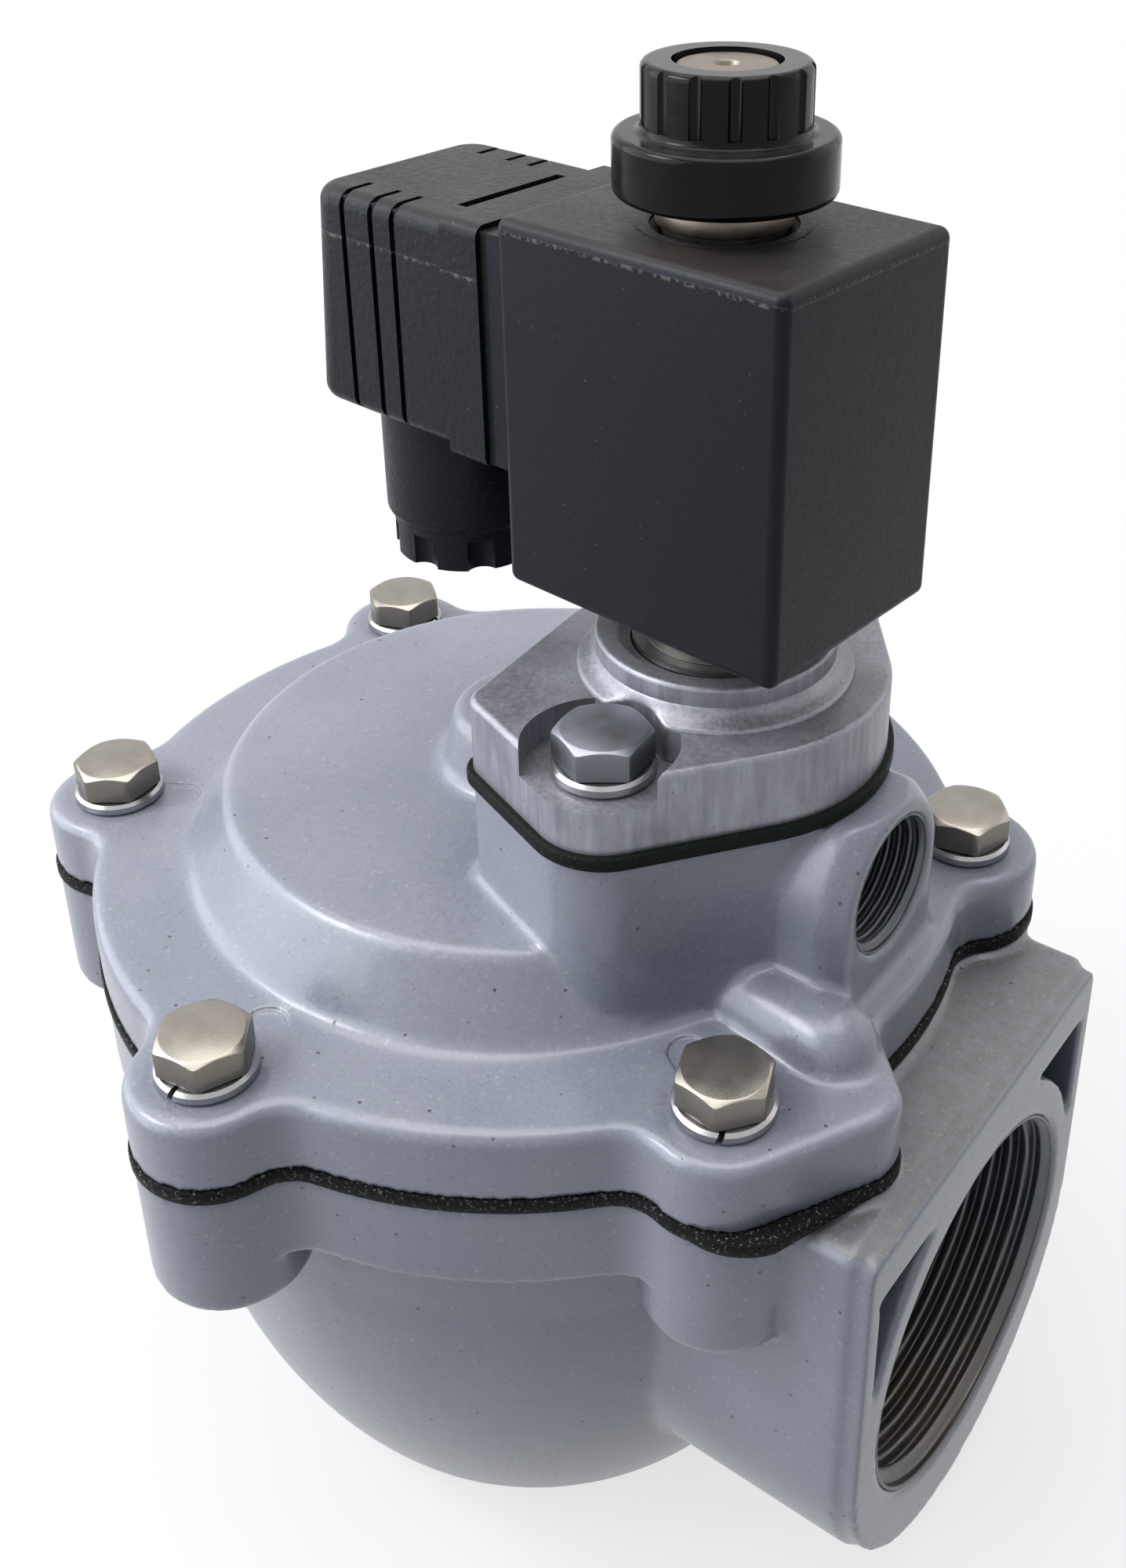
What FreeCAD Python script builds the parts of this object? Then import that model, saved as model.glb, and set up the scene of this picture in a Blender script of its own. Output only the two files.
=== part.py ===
import FreeCAD, Part
import math
import os
import Sketcher

# Right-angle diaphragm pulse valve with a solenoid pilot. Millimetres, +Z up.
# Origin: centre of the bottom outlet face on the main axis. +X leaves the inlet port.

doc = FreeCAD.newDocument("PulseValve")
sheet = doc.addObject("Spreadsheet::Sheet", "Sizes")
V3 = FreeCAD.Vector
UPZ = FreeCAD.Rotation()
row = [0]


class Q:
    """A size as its number and as the text that binds it to the sheet."""

    def __init__(self, num, txt):
        self.num = num
        self.txt = txt

    def __add__(self, other):
        o = quantity(other)
        return Q(self.num + o.num, "(%s + %s)" % (self.txt, o.txt))

    def __radd__(self, other):
        return quantity(other) + self

    def __sub__(self, other):
        o = quantity(other)
        return Q(self.num - o.num, "(%s - %s)" % (self.txt, o.txt))

    def __rsub__(self, other):
        return quantity(other) - self

    def __mul__(self, other):
        o = quantity(other)
        return Q(self.num * o.num, "(%s * %s)" % (self.txt, o.txt))

    def __rmul__(self, other):
        return quantity(other) * self

    def __truediv__(self, other):
        o = quantity(other)
        return Q(self.num / o.num, "(%s / %s)" % (self.txt, o.txt))

    def __neg__(self):
        return Q(-self.num, "(0 - %s)" % self.txt)


def quantity(v):
    if isinstance(v, Q):
        return v
    return Q(float(v), "%.6g" % v)


def size(alias, value, note=""):
    row[0] += 1
    sheet.set("A%d" % row[0], alias)
    sheet.set("B%d" % row[0], "%g" % value)
    sheet.set("C%d" % row[0], note)
    sheet.setAlias("B%d" % row[0], alias)
    return Q(float(value), "Sizes." + alias)


def cosq(deg):
    return Q(math.cos(math.radians(deg)), "cos(%gdeg)" % deg)


def sinq(deg):
    return Q(math.sin(math.radians(deg)), "sin(%gdeg)" % deg)


# The driving sizes.
# Flanges and the bolt circle
bolt_circle_r = size("bolt_circle_r", 57, "flange bolt circle")
flange_r = size("flange_r", 57, "flange edge between the bolts")
lobe_r = size("lobe_r", 9.5, "round ear about each bolt")
lobe_blend_r = size("lobe_blend_r", 6, "hollow curve between ear and flange")
joint_z = size("joint_z", 74.4, "top face of the body flange")
body_flange_t = size("body_flange_t", 11.2, "body flange")
column_len = size("column_len", 17.8, "bolt column of the body")
bonnet_flange_t = size("bonnet_flange_t", 9, "bonnet flange")
dia_t = size("dia_t", 1.8, "main diaphragm sheet")
dia_peek = size("dia_peek", 0.3, "diaphragm edge past the flanges")
edge_round = size("edge_round", 1.5, "rounded casting edges")
# Body bowl
foot_r = size("foot_r", 38, "bowl at the bottom face")
bowl_r = size("bowl_r", 51, "bowl where it turns upright")
bowl_z = size("bowl_z", 50.2, "height where the bowl turns upright")
bowl_curve_r = size("bowl_curve_r", 88, "curve of the bowl")
bowl_top_r = size("bowl_top_r", 51.6, "bowl under the flange")
chamber_r = size("chamber_r", 46.3, "inlet chamber wall")
chamber_low_r = size("chamber_low_r", 38.5, "inlet chamber floor edge")
chamber_floor_z = size("chamber_floor_z", 19.2, "inlet chamber floor")
chamber_knee_z = size("chamber_knee_z", 39.2, "inlet chamber knee")
nozzle_bore_r = size("nozzle_bore_r", 20.5, "outlet passage")
nozzle_top_r = size("nozzle_top_r", 24, "outside of the seat")
nozzle_base_r = size("nozzle_base_r", 27.5, "outside of the nozzle foot")
seat_z = size("seat_z", 57.2, "main seat")
# Threads, at their major diameter
port_thread_r = size("port_thread_r", 23.9, "one and a half inch pipe thread")
port_mouth_r = size("port_mouth_r", 24.9, "mouth of the pipe thread")
port_thread_len = size("port_thread_len", 22, "pipe thread depth")
mouth_len = size("mouth_len", 1, "thread mouth chamfer")
exhaust_thread_r = size("exhaust_thread_r", 8.33, "three eighths inch pipe thread")
exhaust_mouth_r = size("exhaust_mouth_r", 8.6, "mouth of the exhaust thread")
# Inlet port
inlet_face_x = size("inlet_face_x", 68.9, "inlet face from the main axis")
inlet_z = size("inlet_z", 39.9, "inlet axis height")
inlet_half = size("inlet_half", 30, "half width of the inlet box")
inlet_drop = size("inlet_drop", 0.7, "inlet box top under the flange face")
box_arc_drop = size("box_arc_drop", 3.3, "round underside of the box below the inlet axis")
lip_len = size("lip_len", 2.4, "stepped lip at the inlet face")
lip_step = size("lip_step", 0.7, "step of the lip")
box_corner_r = size("box_corner_r", 2, "upper corner of the inlet box")
core_ring_r = size("core_ring_r", 27, "ring left round the inlet thread")
core_wall = size("core_wall", 3.4, "wall round the lightening pockets")
core_top_wall = size("core_top_wall", 7.6, "wall over the lightening pockets")
core_depth = size("core_depth", 9, "lightening pocket depth")
# Bonnet
dome_base_r = size("dome_base_r", 44.6, "dome foot")
dome_top_r = size("dome_top_r", 39.2, "dome top")
dome_h = size("dome_h", 9.8, "dome height")
dome_round = size("dome_round", 2, "dome edges")
roof_t = size("roof_t", 5.5, "dome wall at the top")
cave_r = size("cave_r", 41.5, "bonnet chamber at the flange")
cave_top_r = size("cave_top_r", 35.5, "bonnet chamber at the roof")
spring_boss_r = size("spring_boss_r", 11.4, "main spring boss at its foot")
spring_boss_top_r = size("spring_boss_top_r", 9.6, "main spring boss at its top")
spring_boss_h = size("spring_boss_h", 8.2, "main spring boss height")
spring_pocket_r = size("spring_pocket_r", 7.4, "main spring pocket")
pilot_x = size("pilot_x", 28.6, "pilot axis from the main axis")
pilot_r = size("pilot_r", 20.4, "pilot block about its axis")
block_h = size("block_h", 23.4, "pilot block over the flange")
ear_x = size("ear_x", 28, "pilot bolts from the main axis")
ear_y = size("ear_y", 21, "pilot bolts from the middle")
ear_r = size("ear_r", 8.2, "pilot ear")
nose_x = size("nose_x", 13, "rear corner of the pilot block")
nose_y = size("nose_y", 21, "rear corner of the pilot block")
nose_r = size("nose_r", 3, "rear corner round")
exhaust_x = size("exhaust_x", 53.6, "exhaust face")
exhaust_up = size("exhaust_up", 13, "exhaust axis over the flange")
exhaust_boss_r = size("exhaust_boss_r", 12.2, "arched exhaust boss")
exhaust_round = size("exhaust_round", 2.6, "sloped front edge of the exhaust boss")
exhaust_len = size("exhaust_len", 12.5, "exhaust thread depth")
vent_r = size("vent_r", 14, "exhaust chamber")
vent_floor = size("vent_floor", 7, "exhaust chamber floor over the flange")
pilot_seat_r = size("pilot_seat_r", 7.5, "outside of the pilot seat")
pilot_bore_r = size("pilot_bore_r", 5, "pilot passage")
pilot_seat_up = size("pilot_seat_up", 19.5, "pilot seat over the flange")
bleed_x = size("bleed_x", 57.6, "bleed drilling from the main axis")
bleed_y = size("bleed_y", 14.8, "bleed drilling to the side")
bleed_in_x = size("bleed_in_x", 40.5, "bleed riser in the block")
bleed_in_y = size("bleed_in_y", 12.3, "bleed riser in the block")
bleed_r = size("bleed_r", 1.5, "bleed drilling")
ridge_r = size("ridge_r", 5.4, "half-round ridge over the bleed")
ridge_end_x = size("ridge_end_x", 54.2, "outer end of the ridge")
riser_out_y = size("riser_out_y", 14.3, "outer end of the ridge")
boss_roof = size("boss_roof", 3, "metal over the main spring pocket")
pad_x = size("pad_x", 59.6, "widened ear round the bleed")
pad_y = size("pad_y", 18.4, "widened ear round the bleed")
pad_r = size("pad_r", 5.4, "widened ear round the bleed")
pad_in_y = size("pad_in_y", 10.5, "inner end of the widened ear")
spot_r = size("spot_r", 7, "spot face under a bolt")
spot_t = size("spot_t", 0.3, "depth of spot faces and marks")
mark_w = size("mark_w", 5, "mark that runs in from each bolt")
mark_len = size("mark_len", 8.6, "mark that runs in from each bolt")
# Screws and washers
bolt_r = size("bolt_r", 2.95, "six millimetre screw")
bolt_af = size("bolt_af", 10, "head across flats")
bolt_head_h = size("bolt_head_h", 4, "head height")
bolt_len = size("bolt_len", 20, "screw length")
thread_gap = size("thread_gap", 0.05, "thread allowance in tapped holes")
clear_gap = size("clear_gap", 0.35, "allowance in drilled holes")
hole_spare = size("hole_spare", 3, "tapped hole past the screw end")
lock_t = size("lock_t", 1.6, "spring washer")
lock_r = size("lock_r", 5.8, "spring washer")
lock_split = size("lock_split", 0.7, "split of the spring washer")
# Main diaphragm stack
grip_r = size("grip_r", 46.6, "inside edge of the clamped rim")
stack_r = size("stack_r", 26, "flat middle of the main diaphragm")
seat_pad_r = size("seat_pad_r", 26.5, "seat disc")
seat_pad_t = size("seat_pad_t", 3, "seat disc")
low_plate_r = size("low_plate_r", 27.5, "lower clamp plate")
plate_sheet = size("plate_sheet", 2, "clamp plates")
up_plate_r = size("up_plate_r", 24.5, "upper clamp plate")
plate_rim = size("plate_rim", 1.5, "turned edge of the clamp plates")
centre_screw_r = size("centre_screw_r", 2.45, "centre screw")
centre_nut_af = size("centre_nut_af", 8, "centre nut across flats")
centre_head_r = size("centre_head_r", 7, "centre screw head")
centre_head_t = size("centre_head_t", 2.5, "centre screw head")
centre_nut_h = size("centre_nut_h", 5, "centre nut")
main_coil_r = size("main_coil_r", 5.9, "main spring, middle of the wire")
main_wire_r = size("main_wire_r", 0.8, "main spring wire")
main_turns = size("main_turns", 5, "main spring turns")
plate_cup_r = size("plate_cup_r", 8.2, "spring cup of the upper plate")
# Pilot
gasket_t = size("gasket_t", 1.8, "pilot diaphragm sheet")
gasket_peek = size("gasket_peek", 0.8, "pilot diaphragm past the plate")
plate_t = size("plate_t", 9.3, "pilot plate")
ear_t = size("ear_t", 5.3, "pilot plate under its screws")
ear_cut_r = size("ear_cut_r", 8.8, "milled seat round the pilot screws")
plate_boss_r = size("plate_boss_r", 14, "boss of the pilot plate")
plate_boss_h = size("plate_boss_h", 4.6, "boss of the pilot plate")
plate_recess_r = size("plate_recess_r", 11.8, "recess in the boss")
plate_recess = size("plate_recess", 3.5, "recess in the boss")
plate_cave_r = size("plate_cave_r", 13.5, "pilot chamber in the plate")
plate_cave = size("plate_cave", 4.1, "pilot chamber in the plate")
plate_floor = size("plate_floor", 2.2, "web over the pilot chamber")
orifice_r = size("orifice_r", 1.1, "pilot orifice")
orifice_seat_r = size("orifice_seat_r", 3.2, "orifice seat")
orifice_seat_h = size("orifice_seat_h", 1.5, "orifice seat")
cup_r = size("cup_r", 8, "pilot cup")
cup_t = size("cup_t", 1.2, "pilot cup")
cup_wall_h = size("cup_wall_h", 2.6, "pilot cup edge")
pilot_flat_r = size("pilot_flat_r", 8.6, "flat middle of the pilot diaphragm")
pilot_coil_r = size("pilot_coil_r", 6, "pilot spring, middle of the wire")
pilot_wire_r = size("pilot_wire_r", 0.55, "pilot spring wire")
pilot_turns = size("pilot_turns", 3, "pilot spring turns")
# Armature tube
tube_r = size("tube_r", 6.5, "armature tube")
tube_bore_r = size("tube_bore_r", 5.5, "armature tube bore")
tube_base_r = size("tube_base_r", 9, "threaded foot of the tube")
tube_collar_r = size("tube_collar_r", 9.8, "collar of the tube")
tube_collar_h = size("tube_collar_h", 3, "collar of the tube")
tube_neck_r = size("tube_neck_r", 8.2, "shoulder that carries the coil")
coil_rise = size("coil_rise", 4.9, "coil above the boss of the pilot plate")
tube_over = size("tube_over", 3.2, "tube above the coil")
ring_wire = size("ring_wire", 0.9, "sealing rings")
core_len = size("core_len", 25, "fixed core inside the tube")
stud_top = size("stud_top", 12.9, "stud above the tube")
plunger_gap = size("plunger_gap", 0.3, "plunger to tube")
plunger_travel = size("plunger_travel", 2, "plunger travel")
plunger_air = size("plunger_air", 1, "gap left over the plunger")
plunger_hole_r = size("plunger_hole_r", 3.4, "spring hole of the plunger")
plunger_hole = size("plunger_hole", 11, "spring hole of the plunger")
plunger_coil_r = size("plunger_coil_r", 2.5, "plunger spring")
plunger_wire_r = size("plunger_wire_r", 0.35, "plunger spring wire")
plunger_turns = size("plunger_turns", 6, "plunger spring turns")
plug_seal_r = size("plug_seal_r", 3.4, "plunger seal")
plug_seal_t = size("plug_seal_t", 2.2, "plunger seal")
plug_seal_in = size("plug_seal_in", 1.2, "plunger seal inside its socket")
# Coil
coil_yaw = size("coil_yaw", 174.7, "turn of the coil about its tube, degrees")
coil_front = size("coil_front", 18.6, "tube axis to the plain end")
coil_back = size("coil_back", 19.2, "tube axis to the plug end")
coil_half = size("coil_half", 14.4, "half width of the coil")
coil_h = size("coil_h", 42.8, "coil height")
coil_edge = size("coil_edge", 1.3, "coil edges")
coil_gap = size("coil_gap", 0.3, "coil to tube")
coil_wall = size("coil_wall", 2.4, "coil moulding wall")
coil_roof = size("coil_roof", 4.6, "coil moulding top")
yoke_t = size("yoke_t", 2, "steel frame of the coil")
bobbin_t = size("bobbin_t", 1.2, "bobbin walls")
winding_r = size("winding_r", 11.1, "outside of the winding")
top_ring_r = size("top_ring_r", 8.9, "ring seat in the coil top")
top_ring_in = size("top_ring_in", 2, "ring seat in the coil top")
coil_pad_len = size("coil_pad_len", 2.3, "terminal pad of the coil")
blade_w = size("blade_w", 6.3, "terminal blade")
blade_t = size("blade_t", 0.8, "terminal blade")
blade_out = size("blade_out", 10, "blade past the pad")
blade_in = size("blade_in", 3, "blade inside the coil")
blade_pitch = size("blade_pitch", 18, "spacing of the two live blades")
# Plug
plug_rise = size("plug_rise", 13.3, "plug hood above the bottom of the coil")
plug_h = size("plug_h", 27, "height of the plug body")
plug_half = size("plug_half", 13.3, "half width of the plug body")
plug_rim = size("plug_rim", 0.6, "collar past the plug body")
plug_seal_w = size("plug_seal_w", 1, "flat seal under the plug")
collar_len = size("collar_len", 5.8, "plug collar")
plug_len_low = size("plug_len_low", 30.7, "plug from seal to its lower end")
plug_len_top = size("plug_len_top", 28.5, "plug from seal to its upper end")
plug_corner_r = size("plug_corner_r", 4, "upright corners of the plug")
plug_edge_r = size("plug_edge_r", 2, "other edges of the plug")
collar_round = size("collar_round", 1.4, "long corners of the collar")
plug_wall = size("plug_wall", 2, "plug wall")
plug_end_wall = size("plug_end_wall", 4, "plug end wall")
groove_w = size("groove_w", 0.8, "plug grooves")
groove_d = size("groove_d", 0.6, "plug grooves")
groove_top = size("groove_top", 4.8, "plug grooves on the top")
groove_a = size("groove_a", 13.6, "first groove from the seal")
groove_b = size("groove_b", 17.2, "second groove from the seal")
groove_c = size("groove_c", 22, "third groove from the seal")
slot_len = size("slot_len", 16, "slot in the plug top")
slot_w = size("slot_w", 1.4, "slot in the plug top")
slot_at = size("slot_at", 7.4, "slot from the seal")
neck_at = size("neck_at", 18.3, "gland neck from the seal")
neck_r = size("neck_r", 10.2, "gland neck")
neck_len = size("neck_len", 15.5, "gland neck below the plug")
neck_bore_r = size("neck_bore_r", 8, "gland neck bore")
nut_r = size("nut_r", 9.4, "gland nut")
nut_h = size("nut_h", 5.2, "gland nut")
nut_stem_r = size("nut_stem_r", 7.7, "gland nut stem")
nut_stem_len = size("nut_stem_len", 4.5, "gland nut stem")
nut_bore_r = size("nut_bore_r", 4.6, "gland nut bore")
nut_notch_r = size("nut_notch_r", 2, "hollows round the gland nut")
washer_t = size("washer_t", 1, "gland washer")
grommet_len = size("grommet_len", 6, "gland grommet")
grommet_bore_r = size("grommet_bore_r", 3.6, "cable hole of the grommet")
gland_gap = size("gland_gap", 0.1, "gland parts in the neck")
insert_len = size("insert_len", 13, "terminal block")
insert_gap = size("insert_gap", 0.3, "terminal block to the plug walls")
long_screw_r = size("long_screw_r", 1.5, "plug screw")
long_head_r = size("long_head_r", 2.8, "plug screw head")
long_head_t = size("long_head_t", 2.2, "plug screw head")
# Knob
knob_flange_r = size("knob_flange_r", 11.6, "knob flange")
knob_flange_h = size("knob_flange_h", 6.3, "knob flange")
knob_r = size("knob_r", 8.7, "fluted grip of the knob")
knob_h = size("knob_h", 7, "fluted grip of the knob")
flute_r = size("flute_r", 0.75, "flutes of the knob")
flute_n = size("flute_n", 14, "number of flutes")
knob_gap = size("knob_gap", 0.1, "knob thread allowance")
doc.recompute()

# Heights that follow from the sizes
bonnet_z = joint_z + dia_t
deck_z = bonnet_z + bonnet_flange_t
dome_z = deck_z + dome_h
block_z = deck_z + block_h
plate_z = block_z + gasket_t
plate_top = plate_z + plate_t
boss_top = plate_top + plate_boss_h
recess_z = boss_top - plate_recess
roof_z = dome_z - roof_t
coil_z = boss_top + coil_rise
plug_z = coil_z + plug_rise
coil_top = coil_z + coil_h
tube_top = coil_top + tube_over


def bind(obj, prop, q):
    obj.setExpression(prop, quantity(q).txt)


def place(obj, x=0, y=0, z=0, rot=None, yaw=None):
    xs = [quantity(v) for v in (x, y, z)]
    r = rot if rot is not None else UPZ
    if yaw is not None:
        r = FreeCAD.Rotation(V3(0, 0, 1), yaw.num)
    obj.Placement = FreeCAD.Placement(V3(xs[0].num, xs[1].num, xs[2].num), r)
    for axis, q in zip("xyz", xs):
        if q.txt != "0":
            obj.setExpression("Placement.Base." + axis, q.txt)
    if yaw is not None:
        obj.setExpression("Placement.Rotation.Angle", yaw.txt)
    return obj


def cyl(name, r, h, x=0, y=0, z=0, rot=None):
    o = doc.addObject("Part::Cylinder", name)
    bind(o, "Radius", r)
    bind(o, "Height", h)
    return place(o, x, y, z, rot)


def cone(name, r1, r2, h, x=0, y=0, z=0, rot=None):
    o = doc.addObject("Part::Cone", name)
    bind(o, "Radius1", r1)
    bind(o, "Radius2", r2)
    bind(o, "Height", h)
    return place(o, x, y, z, rot)


def box(name, x0, y0, z0, lx, ly, lz, rot=None):
    o = doc.addObject("Part::Box", name)
    bind(o, "Length", lx)
    bind(o, "Width", ly)
    bind(o, "Height", lz)
    return place(o, x0, y0, z0, rot)


def torus(name, r, w, x=0, y=0, z=0):
    o = doc.addObject("Part::Torus", name)
    bind(o, "Radius1", r)
    bind(o, "Radius2", w)
    return place(o, x, y, z)


def prism(name, r, h, x=0, y=0, z=0, n=6):
    o = doc.addObject("Part::Prism", name)
    o.Polygon = n
    bind(o, "Circumradius", r)
    bind(o, "Height", h)
    return place(o, x, y, z)


def fuse(name, items):
    o = doc.addObject("Part::MultiFuse", name)
    o.Shapes = items
    o.Refine = True
    return o


def cut(name, base, tools):
    tool = tools[0]
    if len(tools) > 1:
        tool = fuse(name + "_tools", tools)
    o = doc.addObject("Part::Cut", name)
    o.Base = base
    o.Tool = tool
    o.Refine = True
    return o


def common(name, a, b):
    o = doc.addObject("Part::MultiCommon", name)
    o.Shapes = [a, b]
    return o


AX = FreeCAD.Rotation(V3(0, 1, 0), 90)
NODES = []


def node(obj, label):
    obj.Label = label
    NODES.append(obj)
    return obj


def new_body(label, x=0, y=0, z=0, yaw=None):
    b = doc.addObject("PartDesign::Body", label)
    place(b, x, y, z, yaw=yaw)
    return node(b, label)


def plane(body, role):
    for f in body.Origin.OriginFeatures:
        if f.Role == role:
            return f
    return None


def sketch(body, name, role, up=None):
    s = body.newObject("Sketcher::SketchObject", name)
    s.AttachmentSupport = (plane(body, role), [""])
    s.MapMode = "FlatFace"
    if up is not None:
        q = quantity(up)
        s.AttachmentOffset = FreeCAD.Placement(V3(0, 0, q.num), FreeCAD.Rotation())
        s.setExpression("AttachmentOffset.Base.z", q.txt)
    return s


def pin_point(s, geo, pos, x, y):
    """Ties one point of a sketch to the sheet."""
    for kind, q in (("DistanceX", quantity(x)), ("DistanceY", quantity(y))):
        if abs(q.num) < 1e-9:
            on = -2 if kind == "DistanceX" else -1
            s.addConstraint(Sketcher.Constraint("PointOnObject", geo, pos, on))
            continue
        if q.num > 0:
            i = s.addConstraint(Sketcher.Constraint(kind, -1, 1, geo, pos, q.num))
            s.setExpression("Constraints[%d]" % i, q.txt)
        else:
            i = s.addConstraint(Sketcher.Constraint(kind, geo, pos, -1, 1, -q.num))
            s.setExpression("Constraints[%d]" % i, (-q).txt)


def poly(s, pts, arcs=None):
    """Closed outline through the points; arcs maps a side to its radius."""
    arcs = arcs or {}
    n = len(pts)
    qs = [(quantity(a), quantity(b)) for a, b in pts]
    ids = []
    for i in range(n):
        a = V3(qs[i][0].num, qs[i][1].num, 0)
        b = V3(qs[(i + 1) % n][0].num, qs[(i + 1) % n][1].num, 0)
        if i in arcs:
            r, side = arcs[i][0], arcs[i][1]
            mid = (a + b) * 0.5
            d = b - a
            half = d.Length / 2
            nrm = V3(-d.y, d.x, 0).normalize() * side
            c = mid - nrm * math.sqrt(max(r.num ** 2 - half ** 2, 0))
            top = c + nrm * r.num
            ids.append(s.addGeometry(Part.Arc(a, top, b), False))
        else:
            ids.append(s.addGeometry(Part.LineSegment(a, b), False))
    ends = []
    for i in range(n):
        start, end = 1, 2
        if i in arcs:
            g = s.Geometry[ids[i]]
            want = V3(qs[i][0].num, qs[i][1].num, 0)
            if (g.StartPoint - want).Length > 1e-4:
                start, end = 2, 1
        ends.append((start, end))
    for i in range(n):
        j = (i + 1) % n
        s.addConstraint(Sketcher.Constraint("Coincident", ids[i], ends[i][1], ids[j], ends[j][0]))
    for i in range(n):
        pin_point(s, ids[i], ends[i][0], qs[i][0], qs[i][1])
    for i in arcs:
        if len(arcs[i]) > 2:
            mid = arcs[i][2]
            k = s.addConstraint(Sketcher.Constraint("DistanceY", -1, 1, ids[i], 3, mid.num))
            s.setExpression("Constraints[%d]" % k, mid.txt)
            continue
        k = s.addConstraint(Sketcher.Constraint("Radius", ids[i], arcs[i][0].num))
        s.setExpression("Constraints[%d]" % k, arcs[i][0].txt)
    return s


def circle(s, r, x=0, y=0):
    r, x, y = quantity(r), quantity(x), quantity(y)
    g = s.addGeometry(Part.Circle(V3(x.num, y.num, 0), V3(0, 0, 1), r.num), False)
    pin_point(s, g, 3, x, y)
    k = s.addConstraint(Sketcher.Constraint("Radius", g, r.num))
    s.setExpression("Constraints[%d]" % k, r.txt)
    return g


def hull(s, rounds, grow=0):
    """Belt outline round circles given anticlockwise as (x, y, radius)."""
    cs = [(quantity(a), quantity(b), quantity(c) + grow) for a, b, c in rounds]
    n = len(cs)
    touch = []
    for i in range(n):
        x1, y1, r1 = [q.num for q in cs[i]]
        x2, y2, r2 = [q.num for q in cs[(i + 1) % n]]
        d = math.hypot(x2 - x1, y2 - y1)
        ang = math.atan2(y2 - y1, x2 - x1)
        a = ang - math.acos((r1 - r2) / d)
        touch.append(a)
    arcs = []
    lines = []
    for i in range(n):
        x, y, r = [q.num for q in cs[i]]
        a0 = touch[i - 1]
        a1 = touch[i]
        while a1 <= a0:
            a1 += 2 * math.pi
        base = Part.Circle(V3(x, y, 0), V3(0, 0, 1), r)
        arcs.append(s.addGeometry(Part.ArcOfCircle(base, a0, a1), False))
    for i in range(n):
        j = (i + 1) % n
        a = touch[i]
        p = V3(cs[i][0].num + cs[i][2].num * math.cos(a), cs[i][1].num + cs[i][2].num * math.sin(a), 0)
        q = V3(cs[j][0].num + cs[j][2].num * math.cos(a), cs[j][1].num + cs[j][2].num * math.sin(a), 0)
        lines.append(s.addGeometry(Part.LineSegment(p, q), False))
    for i in range(n):
        j = (i + 1) % n
        s.addConstraint(Sketcher.Constraint("Tangent", arcs[i], 2, lines[i], 1))
        s.addConstraint(Sketcher.Constraint("Tangent", lines[i], 2, arcs[j], 1))
    for i in range(n):
        pin_point(s, arcs[i], 3, cs[i][0], cs[i][1])
        k = s.addConstraint(Sketcher.Constraint("Radius", arcs[i], cs[i][2].num))
        s.setExpression("Constraints[%d]" % k, cs[i][2].txt)
    return s


def pad(body, s, length, name, mid=False):
    p = body.newObject("PartDesign::Pad", name)
    p.Profile = s
    bind(p, "Length", length)
    p.Midplane = mid
    s.Visibility = False
    return p


def pocket(body, s, depth, name, back=False, mid=False):
    p = body.newObject("PartDesign::Pocket", name)
    p.Profile = s
    bind(p, "Length", depth)
    p.Reversed = back
    p.Midplane = mid
    return p


def turn(body, s, name, groove=False):
    kind = "PartDesign::Groove" if groove else "PartDesign::Revolution"
    r = body.newObject(kind, name)
    r.Profile = s
    r.ReferenceAxis = (s, ["V_Axis"])
    r.Angle = 360
    return r


def turned(label, pts, x=0, y=0, z=0, arcs=None, yaw=None):
    b = new_body(label, x, y, z, yaw)
    s = poly(sketch(b, label + "_profile", "XZ_Plane"), pts, arcs)
    turn(b, s, label + "_turn")
    return b


def pick(shape, test):
    """Names of the edges whose middle point and ends pass the test."""
    out = []
    for i, e in enumerate(shape.Edges):
        m = e.valueAt((e.FirstParameter + e.LastParameter) / 2)
        if test(e, m):
            out.append("Edge%d" % (i + 1))
    return out


def fillet(body, radius, test, name):
    doc.recompute()
    base = body.Tip
    f = body.newObject("PartDesign::Fillet", name)
    f.Base = (base, pick(base.Shape, test))
    bind(f, "Radius", radius)
    return f


def upright(e):
    if e.Curve.TypeId != "Part::GeomLine":
        return False
    d = e.Curve.Direction
    return abs(d.z) > 0.999


def at_z(m, z):
    return abs(m.z - z.num) < 0.05


# The casting outlines
PILOT = [(pilot_x, 0, pilot_r), (ear_x, ear_y, ear_r), (nose_x, nose_y, nose_r),
         (pilot_x, 0, pilot_r), (nose_x, -nose_y, nose_r), (ear_x, -ear_y, ear_r)]


def lobed(body, prefix, z, length, grow=0):
    """Round flange with six bolt ears; one ear is widened over the bleed."""
    disc = circle_pad(body, prefix + "_disc", z, length, flange_r + grow)
    ear = sketch(body, prefix + "_ear", "XY_Plane", z)
    circle(ear, lobe_r + grow, bolt_circle_r * cosq(30), bolt_circle_r * sinq(30))
    ear_pad = pad(body, ear, length, prefix + "_ear_pad")
    ring = body.newObject("PartDesign::PolarPattern", prefix + "_ears")
    ring.Originals = [ear_pad]
    ring.Axis = (ear, ["N_Axis"])
    ring.Angle = 360
    ring.Occurrences = 6
    body.Tip = ring
    wide = sketch(body, prefix + "_wide", "XY_Plane", z)
    hull(wide, [(bolt_circle_r * cosq(30), -(bolt_circle_r * sinq(30)), lobe_r),
                (pad_x, -pad_y, pad_r), (bolt_circle_r - pad_r, -pad_in_y, pad_r)], grow)
    pad(body, wide, length, prefix + "_wide_pad")
    return disc


def circle_pad(body, name, z, length, r, x=0, y=0):
    s = sketch(body, name + "_sketch", "XY_Plane", z)
    circle(s, r, x, y)
    return pad(body, s, length, name)


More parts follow.
